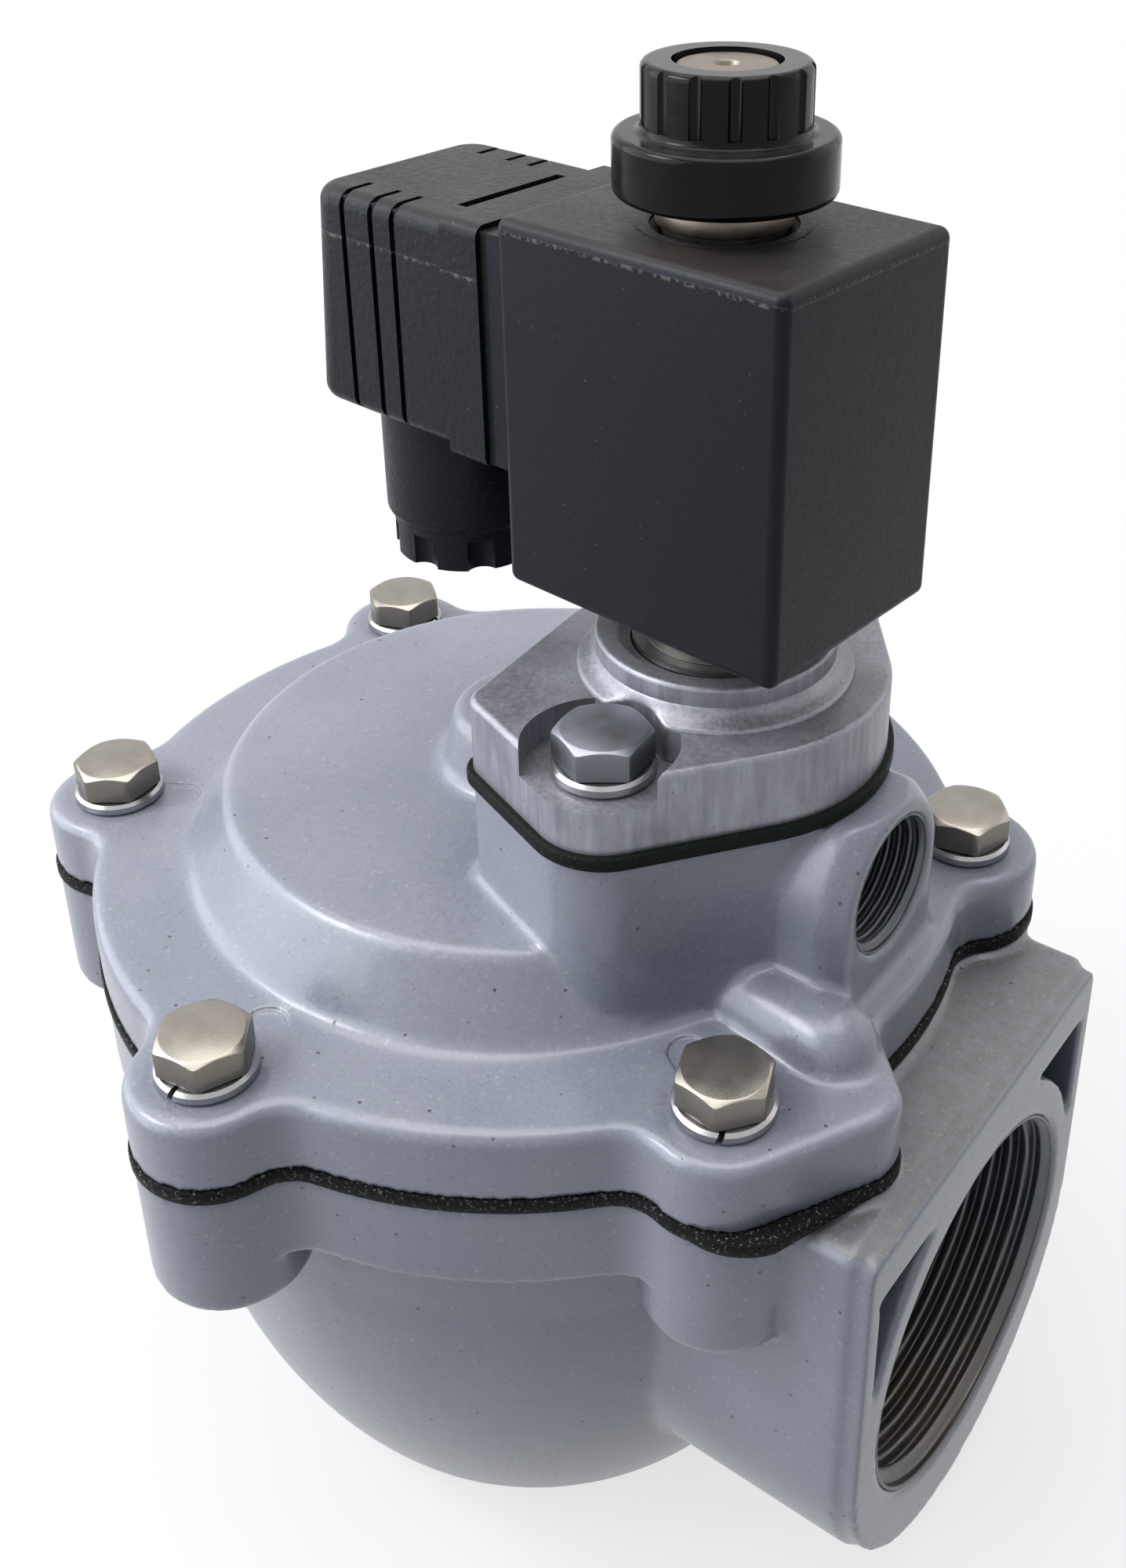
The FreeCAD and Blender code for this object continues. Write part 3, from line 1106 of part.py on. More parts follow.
yk = yawed("coil_yoke")
y_half = coil_half - coil_wall
block_pad(yk, "yoke_low", in_x0, in_x1, y_half, coil_z, coil_z + yoke_t)
roof_in = coil_top - coil_roof
block_pad(yk, "yoke_side", in_x0, in_x0 + yoke_t, y_half, coil_z, roof_in)
block_pad(yk, "yoke_high", in_x0, in_x1, y_half, roof_in - yoke_t, roof_in)
hole_z(yk, "yoke_hole", coil_bore, coil_z, roof_in)

bob_in = coil_bore + 0.1
turned("coil_bobbin",
       [(bob_in, coil_z + yoke_t), (winding_r, coil_z + yoke_t), (winding_r, coil_z + yoke_t + bobbin_t),
        (bob_in + bobbin_t, coil_z + yoke_t + bobbin_t),
        (bob_in + bobbin_t, roof_in - yoke_t - bobbin_t), (winding_r, roof_in - yoke_t - bobbin_t),
        (winding_r, roof_in - yoke_t), (bob_in, roof_in - yoke_t)], x=pilot_x, yaw=coil_yaw)
turned("coil_winding",
       [(bob_in + bobbin_t, coil_z + yoke_t + bobbin_t), (winding_r, coil_z + yoke_t + bobbin_t),
        (winding_r, roof_in - yoke_t - bobbin_t), (bob_in + bobbin_t, roof_in - yoke_t - bobbin_t)],
       x=pilot_x, yaw=coil_yaw)
node(torus("coil_top_ring", coil_bore + ring_wire, ring_wire, pilot_x, 0,
           coil_top - top_ring_in + ring_wire), "coil_top_ring")


def blade(label, y, z, wy, wz):
    b = yawed(label)
    s = sketch(b, label + "_side", "YZ_Plane", pad_x1 - blade_in)
    poly(s, [(y - wy / 2, z - wz / 2), (y + wy / 2, z - wz / 2), (y + wy / 2, z + wz / 2),
             (y - wy / 2, z + wz / 2)])
    pad(b, s, blade_in + blade_out, label + "_pad")
    return b


blade("live_blade_1", blade_pitch / 2, mid_plug, blade_t, blade_w)
blade("live_blade_2", -(blade_pitch / 2), mid_plug, blade_t, blade_w)
blade("earth_blade", quantity(0), ez, blade_w, blade_t)

# Plug: flat seal, hood with gland neck, terminal block, long screw
seal_x = pad_x1
hood_x = seal_x + plug_seal_w
fs = yawed("plug_flat_seal")
fr = sketch(fs, "seal_frame", "YZ_Plane", seal_x)
poly(fr, [(plug_half, plug_z), (plug_half, plug_z + plug_h), (-plug_half, plug_z + plug_h),
          (-plug_half, plug_z)])
win = plug_half - plug_wall
poly(fr, [(win, plug_z + plug_wall), (win, plug_z + plug_h - plug_wall),
          (-win, plug_z + plug_h - plug_wall), (-win, plug_z + plug_wall)])
pad(fs, fr, plug_seal_w, "seal_frame_pad")

hd = yawed("plug_housing")
side = sketch(hd, "hood_side", "XZ_Plane")
poly(side, [(hood_x, plug_z), (hood_x + plug_len_low, plug_z), (hood_x + plug_len_top, plug_z + plug_h),
            (hood_x, plug_z + plug_h)])
pad(hd, side, plug_half * 2, "hood_pad", mid=True)
fillet(hd, plug_corner_r,
       lambda e, m: e.Curve.TypeId == "Part::GeomLine" and abs(e.Curve.Direction.z) > 0.9
       and m.x > hood_x.num + 20, "hood_corners")
fillet(hd, plug_edge_r, lambda e, m: m.x > hood_x.num + 1 and
       (abs(m.z - plug_z.num) < 0.01 or abs(m.z - plug_z.num - plug_h.num) < 0.01), "hood_edges")
block_pad(hd, "hood_collar", hood_x, hood_x + collar_len, plug_half + plug_rim, plug_z - plug_rim,
          plug_z + plug_h + plug_rim)
fillet(hd, collar_round, lambda e, m: e.Curve.TypeId == "Part::GeomLine" and abs(e.Curve.Direction.x) > 0.999
       and hood_x.num < m.x < hood_x.num + collar_len.num
       and abs(abs(m.y) - plug_half.num - plug_rim.num) < 0.01, "collar_corners")
neck_x = hood_x + neck_at
nk = circle_pad(hd, "gland_neck", plug_z - neck_len, neck_len + plug_wall, neck_r, neck_x, 0)
fillet(hd, 1.0, lambda e, m: abs(m.z - plug_z.num + neck_len.num) < 0.01, "neck_edge")
block_cut(hd, "hood_cavity", hood_x, hood_x + plug_len_low - plug_end_wall, win,
          plug_z + plug_wall, plug_z + plug_h - plug_wall)
hole_z(hd, "neck_bore", neck_bore_r, plug_z - neck_len, plug_z - neck_len + nut_stem_len + washer_t
       + grommet_len, neck_x)
hole_z(hd, "neck_way", neck_bore_r - 2, plug_z - neck_len + nut_stem_len, plug_z + plug_wall + 1, neck_x)
for tag, at in (("a", groove_a), ("b", groove_b), ("c", groove_c)):
    g = sketch(hd, "groove_" + tag, "YZ_Plane", hood_x + at)
    gi = plug_half - groove_d
    g_top = plug_z + plug_h
    for f in (1, -1):
        poly(g, [(gi * f, plug_z - 2), ((plug_half + 2) * f, plug_z - 2), ((plug_half + 2) * f, g_top + 2),
                 ((plug_half - groove_top) * f, g_top + 2), ((plug_half - groove_top) * f, g_top - groove_d),
                 (gi * f, g_top - groove_d)])
    pocket(hd, g, groove_w, "groove_cut_" + tag, back=True)
sl = sketch(hd, "hood_slot", "XY_Plane", plug_z + plug_h - 1.2)
poly(sl, [(hood_x + slot_at, -slot_len / 2), (hood_x + slot_at + slot_w, -slot_len / 2),
          (hood_x + slot_at + slot_w, slot_len / 2), (hood_x + slot_at, slot_len / 2)])
pocket(hd, sl, 2, "hood_slot_cut", back=True)
head_x = hood_x + plug_len_low - plug_end_wall + 1
hs = sketch(hd, "screw_way", "YZ_Plane", hood_x)
circle(hs, long_screw_r + clear_gap, 0, mid_plug)
pocket(hd, hs, plug_len_low, "screw_way_cut", back=True)
hc = sketch(hd, "screw_head_way", "YZ_Plane", head_x)
circle(hc, long_head_r + clear_gap, 0, mid_plug)
pocket(hd, hc, plug_len_low, "screw_head_way_cut", back=True)

tb = yawed("terminal_block")
t_half = win - insert_gap
t_z0 = plug_z + plug_wall + insert_gap
t_z1 = plug_z + plug_h - plug_wall - insert_gap
block_pad(tb, "insert_body", hood_x, hood_x + insert_len, t_half, t_z0, t_z1)
ts = sketch(tb, "insert_slots", "YZ_Plane", hood_x)
e = 0.15
poly(ts, [(by0 - e, bz0 - e), (by1 + e, bz0 - e), (by1 + e, bz1 + e), (by0 - e, bz1 + e)])
poly(ts, [(-by1 - e, bz0 - e), (e - by0, bz0 - e), (e - by0, bz1 + e), (-by1 - e, bz1 + e)])
poly(ts, [(-blade_w / 2 - e, ez - blade_t / 2 - e), (blade_w / 2 + e, ez - blade_t / 2 - e),
          (blade_w / 2 + e, ez + blade_t / 2 + e), (-blade_w / 2 - e, ez + blade_t / 2 + e)])
pocket(tb, ts, blade_out, "insert_slots_cut", back=True)
tw = sketch(tb, "insert_way", "YZ_Plane", hood_x)
circle(tw, long_screw_r + clear_gap, 0, mid_plug)
pocket(tb, tw, insert_len, "insert_way_cut", back=True)

ls = yawed("plug_screw")
lsk = sketch(ls, "long_shank", "YZ_Plane", pad_x1 - 3.5)
circle(lsk, long_screw_r, 0, mid_plug)
pad(ls, lsk, head_x - pad_x1 + 3.5, "long_shank_pad")
lsh = sketch(ls, "long_head", "YZ_Plane", head_x)
circle(lsh, long_head_r, 0, mid_plug)
pad(ls, lsh, long_head_t, "long_head_pad")
lsl = sketch(ls, "long_slot", "YZ_Plane", head_x + long_head_t - 0.9)
poly(lsl, [(-long_head_r - 1, mid_plug - 0.4), (long_head_r + 1, mid_plug - 0.4),
           (long_head_r + 1, mid_plug + 0.4), (-long_head_r - 1, mid_plug + 0.4)])
pocket(ls, lsl, 1, "long_slot_cut", back=True)

# Cable gland: lobed nut, washer and rubber grommet in the neck
gz = plug_z - neck_len
gn = yawed("gland_nut")
circle_pad(gn, "gland_head", gz - nut_h, nut_h, nut_r, neck_x, 0)
notch = sketch(gn, "gland_notch", "XY_Plane", gz - nut_h)
for i in range(8):
    circle(notch, nut_notch_r, neck_x + (nut_r + nut_notch_r * 0.45) * cosq(45 * i + 10),
           (nut_r + nut_notch_r * 0.45) * sinq(45 * i + 10))
pocket(gn, notch, nut_h - 1.2, "gland_notch_cut", back=True)
circle_pad(gn, "gland_stem", gz, nut_stem_len, nut_stem_r, neck_x, 0)
hole_z(gn, "gland_hole", nut_bore_r, gz - nut_h, gz + nut_stem_len, neck_x)
gw = yawed("gland_washer")
circle_pad(gw, "gland_washer_disc", gz + nut_stem_len, washer_t, nut_stem_r, neck_x, 0)
hole_z(gw, "gland_washer_hole", nut_bore_r, gz + nut_stem_len, gz + nut_stem_len + washer_t, neck_x)
gg = yawed("gland_grommet")
g0 = gz + nut_stem_len + washer_t
circle_pad(gg, "gland_grommet_body", g0, grommet_len, neck_bore_r - gland_gap, neck_x, 0)
hole_z(gg, "gland_grommet_hole", grommet_bore_r, g0, g0 + grommet_len, neck_x)

# Knob nut on the stud
kb = new_body("knob_nut", pilot_x, 0, 0)
kp = poly(sketch(kb, "knob_profile", "XZ_Plane"),
          [(tube_bore_r + knob_gap, tube_top), (knob_flange_r, tube_top),
           (knob_flange_r, tube_top + knob_flange_h), (knob_r, tube_top + knob_flange_h),
           (knob_r, tube_top + knob_flange_h + knob_h), (tube_bore_r + knob_gap,
            tube_top + knob_flange_h + knob_h)])
turn(kb, kp, "knob_turn")
fillet(kb, 0.8, lambda e, m: math.hypot(m.x, m.y) > knob_r.num - 0.1
       and e.Curve.TypeId == "Part::GeomCircle", "knob_edges")
fl = sketch(kb, "flute", "XY_Plane", tube_top + knob_flange_h + 0.8)
circle(fl, flute_r, knob_r + flute_r / 3, 0)
flc = pocket(kb, fl, knob_h, "flute_cut", back=True)
fln = kb.newObject("PartDesign::PolarPattern", "flutes")
fln.Originals = [flc]
fln.Axis = (fl, ["N_Axis"])
fln.Angle = 360
kb.Tip = fln
fln.setExpression("Occurrences", flute_n.txt)

doc.recompute()
failed = [o.Name for o in doc.Objects if "Invalid" in o.State or "Error" in o.State]
if failed:
    raise RuntimeError("failed: " + ", ".join(failed))
os.makedirs("parts", exist_ok=True)
for o in NODES:
    shape = o.Shape
    if shape.isNull() or not shape.isValid() or shape.Volume < 0.01:
        raise RuntimeError("bad shape: " + o.Label)
for o in NODES:
    o.Shape.exportStep("parts/%s.step" % o.Label)
    print("%-24s solids %d volume %9.1f" % (o.Label, len(o.Shape.Solids), o.Shape.Volume))
print(len(NODES), "pieces")
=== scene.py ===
import math
import bmesh
import bpy
import numpy as np
from mathutils import Matrix, Vector


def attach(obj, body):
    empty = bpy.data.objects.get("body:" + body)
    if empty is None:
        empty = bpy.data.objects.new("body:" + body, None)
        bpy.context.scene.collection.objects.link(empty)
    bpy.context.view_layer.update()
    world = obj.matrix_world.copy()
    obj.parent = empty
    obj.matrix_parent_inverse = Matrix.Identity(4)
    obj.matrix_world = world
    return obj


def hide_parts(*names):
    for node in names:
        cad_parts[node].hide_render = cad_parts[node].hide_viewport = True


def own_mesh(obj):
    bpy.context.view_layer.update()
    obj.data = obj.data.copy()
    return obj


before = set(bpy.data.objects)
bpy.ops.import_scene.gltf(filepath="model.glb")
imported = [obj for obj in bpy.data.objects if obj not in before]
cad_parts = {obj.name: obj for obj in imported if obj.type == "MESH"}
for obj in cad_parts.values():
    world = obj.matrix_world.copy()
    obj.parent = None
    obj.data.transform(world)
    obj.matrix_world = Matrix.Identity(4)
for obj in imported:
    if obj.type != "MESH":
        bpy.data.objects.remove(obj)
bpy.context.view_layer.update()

# Camera: stands where the photograph was taken, a little above the valve, looking down on
# the near corner between the inlet port and the flange.
camera = bpy.data.objects.new("camera", bpy.data.cameras.new("camera"))
bpy.context.scene.collection.objects.link(camera)
bpy.context.scene.camera = camera
EYE = (0.12384, -0.14636, 0.22581)
FOCAL_PIXELS = 2235.1
PHOTO_TALL = 2000
turn = math.radians(35.53)
tip = math.radians(27.48)
right = Vector((math.cos(turn), math.sin(turn), 0))
back = Vector((math.sin(turn) * math.cos(tip), -math.cos(turn) * math.cos(tip), math.sin(tip)))
above = back.cross(right)
camera.matrix_world = Matrix(((right.x, above.x, back.x, EYE[0]), (right.y, above.y, back.y, EYE[1]),
                              (right.z, above.z, back.z, EYE[2]), (0, 0, 0, 1)))
camera.data.sensor_width = 36
camera.data.lens = FOCAL_PIXELS / PHOTO_TALL * camera.data.sensor_width
camera.data.shift_x = -0.0561
camera.data.shift_y = -0.1549
camera.data.clip_start = 0.01
camera.data.clip_end = 20
bpy.context.scene.view_settings.view_transform = "Standard"


# Floor, sky and lamps: a white table in a bright room. A wide, cool window stands to the left with
# a small lamp over it, a weak warm one to the right, and a soft panel hangs above.
def shader(name):
    """A new material with its node tree, the shader and the object coordinates."""
    mat = bpy.data.materials.new(name)
    mat.use_nodes = True
    tree = mat.node_tree
    where = tree.nodes.new("ShaderNodeTexCoord")
    return mat, tree, tree.nodes["Principled BSDF"], where.outputs["Object"]


def add_node(tree, kind, links=None, **values):
    """A node with its settings; links maps its inputs to other sockets or numbers."""
    made = tree.nodes.new("ShaderNode" + kind)
    for key, value in values.items():
        setattr(made, key, value)
    for key, value in (links or {}).items():
        if isinstance(value, bpy.types.NodeSocket):
            tree.links.new(value, made.inputs[key])
        else:
            made.inputs[key].default_value = value
    return made


def seen_rays(tree):
    """One for what the camera, a gloss or a clear part sees, nought for the light itself."""
    path = add_node(tree, "LightPath")
    two = add_node(tree, "Math", {0: path.outputs["Is Camera Ray"], 1: path.outputs["Is Glossy Ray"]},
                   operation="MAXIMUM")
    return add_node(tree, "Math", {0: two.outputs[0], 1: path.outputs["Is Transmission Ray"]},
                    operation="MAXIMUM").outputs[0]


def table_floor():
    """The table: it takes the valve's shadow and fades to plain white away from it."""
    mesh = bpy.data.meshes.new("floor")
    far = 30.0
    mesh.from_pydata([(-far, -far, 0), (far, -far, 0), (far, far, 0), (-far, far, 0)], [], [(0, 1, 2, 3)])
    obj = bpy.data.objects.new("floor", mesh)
    bpy.context.scene.collection.objects.link(obj)
    mat, tree, bsdf, where = shader("white_table")
    seen = seen_rays(tree)
    tint = add_node(tree, "Mix", {0: seen, 6: (0.15, 0.165, 0.19, 1), 7: (0.80, 0.81, 0.83, 1)},
                    data_type="RGBA")
    tree.links.new(tint.outputs[2], bsdf.inputs["Base Color"])
    bsdf.inputs["Roughness"].default_value = 0.8
    glow = add_node(tree, "Emission", {"Color": (1, 1, 1, 1), "Strength": 1.0})
    away = add_node(tree, "VectorMath", {0: where}, operation="LENGTH")
    fade = add_node(tree, "MapRange", {0: away.outputs["Value"], 1: 0.08, 2: 0.30, 3: 0.72, 4: 1.0})
    share = add_node(tree, "Math", {0: seen, 1: fade.outputs[0]}, operation="MULTIPLY")
    blend = add_node(tree, "MixShader", {0: share.outputs[0], 1: bsdf.outputs[0], 2: glow.outputs[0]})
    tree.links.new(blend.outputs[0], tree.nodes["Material Output"].inputs["Surface"])
    mesh.materials.append(mat)


def room_sky():
    """Dim at the horizon and paler above for the light, plain white for what is seen."""
    world = bpy.data.worlds.new("room")
    bpy.context.scene.world = world
    world.use_nodes = True
    tree = world.node_tree
    plain = tree.nodes["Background"]
    where = tree.nodes.new("ShaderNodeTexCoord")
    split = add_node(tree, "SeparateXYZ", {0: where.outputs["Generated"]})
    ramp = add_node(tree, "ValToRGB", {0: split.outputs["Z"]})
    ramp.color_ramp.elements[0].position = 0.0
    ramp.color_ramp.elements[0].color = (0.08, 0.09, 0.12, 1)
    ramp.color_ramp.elements[1].position = 0.75
    ramp.color_ramp.elements[1].color = (0.62, 0.62, 0.62, 1)
    tree.links.new(ramp.outputs[0], plain.inputs["Color"])
    plain.inputs["Strength"].default_value = 0.5
    white = add_node(tree, "Background", {"Color": (1, 1, 1, 1), "Strength": 1.0})
    blend = add_node(tree, "MixShader", {0: seen_rays(tree), 1: plain.outputs[0], 2: white.outputs[0]})
    tree.links.new(blend.outputs[0], tree.nodes["World Output"].inputs["Surface"])


def lamp(name, place, wide, tall, power, color):
    """A flat lamp that faces the middle of the valve."""
    data = bpy.data.lights.new(name, "AREA")
    data.shape = "RECTANGLE"
    data.size = wide
    data.size_y = tall
    data.energy = power
    data.color = color
    obj = bpy.data.objects.new(name, data)
    bpy.context.scene.collection.objects.link(obj)
    obj.location = place
    obj.rotation_euler = (middle - place).to_track_quat("-Z", "Y").to_euler()


table_floor()
room_sky()
middle = Vector((0, 0, 0.08))
COOL = (0.94, 0.97, 1.0)
PLAIN = (1.0, 0.99, 0.97)
WARM = (1.0, 0.96, 0.92)
lamp("window_left", middle - right * 0.67 + back * 0.06 + Vector((0, 0, 0.25)), 1.1, 0.88, 7.6, COOL)
lamp("high_left", middle - right * 0.48 + back * 0.08 + Vector((0, 0, 0.5)), 0.26, 0.2, 2.0, PLAIN)
lamp("window_right", middle + right * 0.62 - back * 0.3 + Vector((0, 0, 0.4)), 0.6, 0.5, 0.6, WARM)
lamp("ceiling", middle + Vector((-0.05, 0.06, 0.75)), 0.7, 0.7, 4.2, PLAIN)


# Lower casting: the bowl with its bolt columns, the square inlet box with the tapped port and
# the passage up to the seat. Die-cast aluminium under a silver-grey paint with fine dark
# specks; every corner of the mould is softened.
def merged(node, name):
    """A copy of a solid with its loose triangles joined."""
    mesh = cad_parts[node].data.copy()
    mesh.materials.clear()
    bm = bmesh.new()
    bm.from_mesh(mesh)
    bmesh.ops.remove_doubles(bm, verts=bm.verts, dist=0.000002)
    bm.to_mesh(mesh)
    bm.free()
    obj = bpy.data.objects.new(name, mesh)
    bpy.context.scene.collection.objects.link(obj)
    return obj


def settle(obj):
    """Turns what the modifiers make into the plain mesh."""
    bpy.context.view_layer.update()
    graph = bpy.context.evaluated_depsgraph_get()
    made = bpy.data.meshes.new_from_object(obj.evaluated_get(graph))
    obj.modifiers.clear()
    obj.data = made
    return obj


def relax(mesh, rounds):
    """Softens every corner of a fine mesh: each point goes half way to its neighbours' middle."""
    n = len(mesh.vertices)
    co = np.empty(n * 3)
    mesh.vertices.foreach_get("co", co)
    co = co.reshape(-1, 3)
    ends = np.empty(len(mesh.edges) * 2, int)
    mesh.edges.foreach_get("vertices", ends)
    a = ends[0::2]
    b = ends[1::2]
    count = np.bincount(a, minlength=n) + np.bincount(b, minlength=n)
    for _ in range(rounds):
        total = np.empty_like(co)
        for k in range(3):
            total[:, k] = (np.bincount(a, co[b, k], minlength=n) + np.bincount(b, co[a, k], minlength=n))
        co += 0.5 * (total / count[:, None] - co)
    mesh.vertices.foreach_set("co", co.ravel())
    mesh.update()


def cast_copy(node, name, most):
    """The solid as the foundry leaves it, with softened edges and corners, in most triangles."""
    obj = merged(node, name)
    skin = obj.modifiers.new("skin", "REMESH")
    skin.mode = "VOXEL"
    skin.voxel_size = 0.00062
    settle(obj)
    relax(obj.data, 2)
    faces = len(obj.data.polygons) * 2
    if faces > most:
        thin = obj.modifiers.new("thin", "DECIMATE")
        thin.ratio = most / faces
        settle(obj)
    obj.data.shade_smooth()
    return obj


def dress(obj, mat, body, slot, *nodes):
    """Gives a piece its material and body and lets it stand for its solids."""
    obj.data.materials.clear()
    obj.data.materials.append(mat)
    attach(obj, body)
    if nodes:
        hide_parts(*nodes)
    return obj


def fine_dots(tree, where, scale, reach):
    """Small round dots, white on black."""
    spots = add_node(tree, "TexVoronoi", {"Vector": where, "Scale": scale})
    step = add_node(tree, "MapRange", {0: spots.outputs["Distance"], 1: reach, 2: reach * 0.55, 3: 0, 4: 1})
    return step.outputs[0]


def casting_paint(name, shade, marks=False, dust=False):
    """Silver-grey paint with sand grain, fine flakes partly lightened as a painted glint, orange peel and
    dark pits.
    """
    mat, tree, bsdf, where = shader(name)
    cloud = add_node(tree, "TexNoise", {"Vector": where, "Scale": 32, "Detail": 4, "Roughness": 0.55})
    grain = add_node(tree, "TexNoise", {"Vector": where, "Scale": 1900, "Detail": 3})
    peel = add_node(tree, "TexNoise", {"Vector": where, "Scale": 210, "Detail": 3})
    base = add_node(tree, "ValToRGB", {0: cloud.outputs[0]})
    base.color_ramp.elements[0].position = 0.28
    base.color_ramp.elements[0].color = (0.228 * shade, 0.248 * shade, 0.312 * shade, 1)
    base.color_ramp.elements[1].position = 0.74
    base.color_ramp.elements[1].color = (0.298 * shade, 0.312 * shade, 0.370 * shade, 1)
    skin = base.outputs[0]
    if dust:
        skin = settled_dust(tree, where, skin)
    sand = add_node(tree, "MapRange", {0: grain.outputs[0], 1: 0.3, 2: 0.7, 3: 0.93, 4: 1.07})
    sandy = add_node(tree, "VectorMath", {0: skin, "Scale": sand.outputs[0]}, operation="SCALE")
    # Flakes: lighter specks of colour, partly their own tone and partly a painted glint.
    flake = add_node(tree, "TexVoronoi", {"Vector": where, "Scale": 3000})
    flake_glint = add_node(tree, "MapRange", {0: flake.outputs["Color"], 1: 0.84, 2: 1.0, 3: 0.0, 4: 0.34})
    glinted_flakes = add_node(tree, "Mix", {0: flake_glint.outputs[0], 6: sandy.outputs[0], 7: (0.50, 0.53, 0.58, 1)},
                   data_type="RGBA")
    pits = fine_dots(tree, where, 300, 0.085)
    small = fine_dots(tree, where, 720, 0.11)
    rare = add_node(tree, "TexNoise", {"Vector": where, "Scale": 110, "Detail": 1})
    pick = add_node(tree, "MapRange", {0: rare.outputs[0], 1: 0.40, 2: 0.50, 3: 0, 4: 0.9})
    few = add_node(tree, "MapRange", {0: rare.outputs[0], 1: 0.52, 2: 0.44, 3: 0, 4: 0.55})
    large = add_node(tree, "Math", {0: pits, 1: pick.outputs[0]}, operation="MULTIPLY")
    tiny = add_node(tree, "Math", {0: small, 1: few.outputs[0]}, operation="MULTIPLY")
    both = add_node(tree, "Math", {0: large.outputs[0], 1: tiny.outputs[0]}, operation="MAXIMUM")
    specked = add_node(tree, "Mix", {0: both.outputs[0], 6: glinted_flakes.outputs[2], 7: (0.045, 0.045, 0.05, 1)},
                       data_type="RGBA")
    tree.links.new(specked.outputs[2], bsdf.inputs["Base Color"])
    bsdf.inputs["Metallic"].default_value = 0.12
    bsdf.inputs["Coat Weight"].default_value = 0.3
    bsdf.inputs["Coat Roughness"].default_value = 0.2
    bsdf.inputs["Specular IOR Level"].default_value = 0.5
    rough = add_node(tree, "MapRange", {0: grain.outputs[0], 1: 0.3, 2: 0.7, 3: 0.28, 4: 0.42})
    tree.links.new(rough.outputs[0], bsdf.inputs["Roughness"])
    bump = add_node(tree, "Bump", {"Height": grain.outputs[0], "Strength": 0.18, "Distance": 0.0001})
    wave = add_node(tree, "Bump", {"Height": peel.outputs[0], "Strength": 0.22, "Distance": 0.00035,
                                   "Normal": bump.outputs[0]})
    sunk = add_node(tree, "Bump", {"Height": both.outputs[0], "Strength": 0.5, "Distance": 0.00015,
                                   "Normal": wave.outputs[0]}, invert=True)
    last = sunk
    if marks:
        last = add_node(tree, "Bump", {"Height": bolt_marks(tree, where), "Strength": 0.8,
                                       "Distance": 0.00025, "Normal": sunk.outputs[0]})
    tree.links.new(last.outputs[0], bsdf.inputs["Normal"])
    return mat


def settled_dust(tree, where, skin):
    """Beige dust that lies on the flat top of the inlet box, and dirt in its two pockets."""
    form = add_node(tree, "NewGeometry")
    tilt = add_node(tree, "SeparateXYZ", {0: form.outputs["Normal"]})
    spot = add_node(tree, "SeparateXYZ", {0: where})
    level = add_node(tree, "MapRange", {0: tilt.outputs[2], 1: 0.75, 2: 0.97, 3: 0.0, 4: 0.8})
    out = add_node(tree, "MapRange", {0: spot.outputs[0], 1: 0.030, 2: 0.046, 3: 0.0, 4: 1.0})
    drift = add_node(tree, "TexNoise", {"Vector": where, "Scale": 700, "Detail": 4, "Roughness": 0.65})
    patch = add_node(tree, "MapRange", {0: drift.outputs[0], 1: 0.3, 2: 0.65, 3: 0.35, 4: 1.0})
    laid = add_node(tree, "Math", {0: level.outputs[0], 1: out.outputs[0]}, operation="MULTIPLY")
    share = add_node(tree, "Math", {0: laid.outputs[0], 1: patch.outputs[0]}, operation="MULTIPLY")
    dusty = add_node(tree, "Mix", {0: share.outputs[0], 6: skin, 7: (0.175, 0.162, 0.148, 1)},
                     data_type="RGBA")
    return dusty.outputs[2]


paint = casting_paint("casting_paint", 0.84, dust=True)
dress(cast_copy("body", "lower_casting", 190000), paint, "valve", "casting_paint", "body")


# Upper casting: the domed cover with the spring boss, the pilot block, the arched exhaust boss
# and the round-backed rib over the bleed drilling. The same casting and paint.
EJECTOR_R = 0.0484
DECK_LOW = 0.0848
DECK_HIGH = 0.0858


def mark_reach(co):
    """How far a point of the deck is from the middle line of the nearest ejector mark."""
    if not DECK_LOW < co.z < DECK_HIGH or co.xy.length > 0.0575:
        return 1.0
    off = math.atan2(co.y, co.x) % math.radians(60) - math.radians(30)
    return math.hypot(off * co.xy.length, min(0.0, co.xy.length - EJECTOR_R))


def pressed_marks(obj):
    """Presses the marks of the ejector pins into the deck, on a finer mesh than the rest."""
    deep = 0.0002
    edge = 0.0027
    slope = 0.0005
    bm = bmesh.new()
    bm.from_mesh(obj.data)
    near = [e for e in bm.edges if max(mark_reach(v.co) for v in e.verts) < 0.0036]
    bmesh.ops.subdivide_edges(bm, edges=near, cuts=2)
    bmesh.ops.triangulate(bm, faces=[f for f in bm.faces if len(f.verts) > 3])
    for vert in bm.verts:
        share = min(1.0, max(0.0, (edge - mark_reach(vert.co)) / slope))
        vert.co.z -= deep * share * share * (3 - 2 * share)
    bm.to_mesh(obj.data)
    bm.free()
    obj.data.shade_smooth()
    return obj


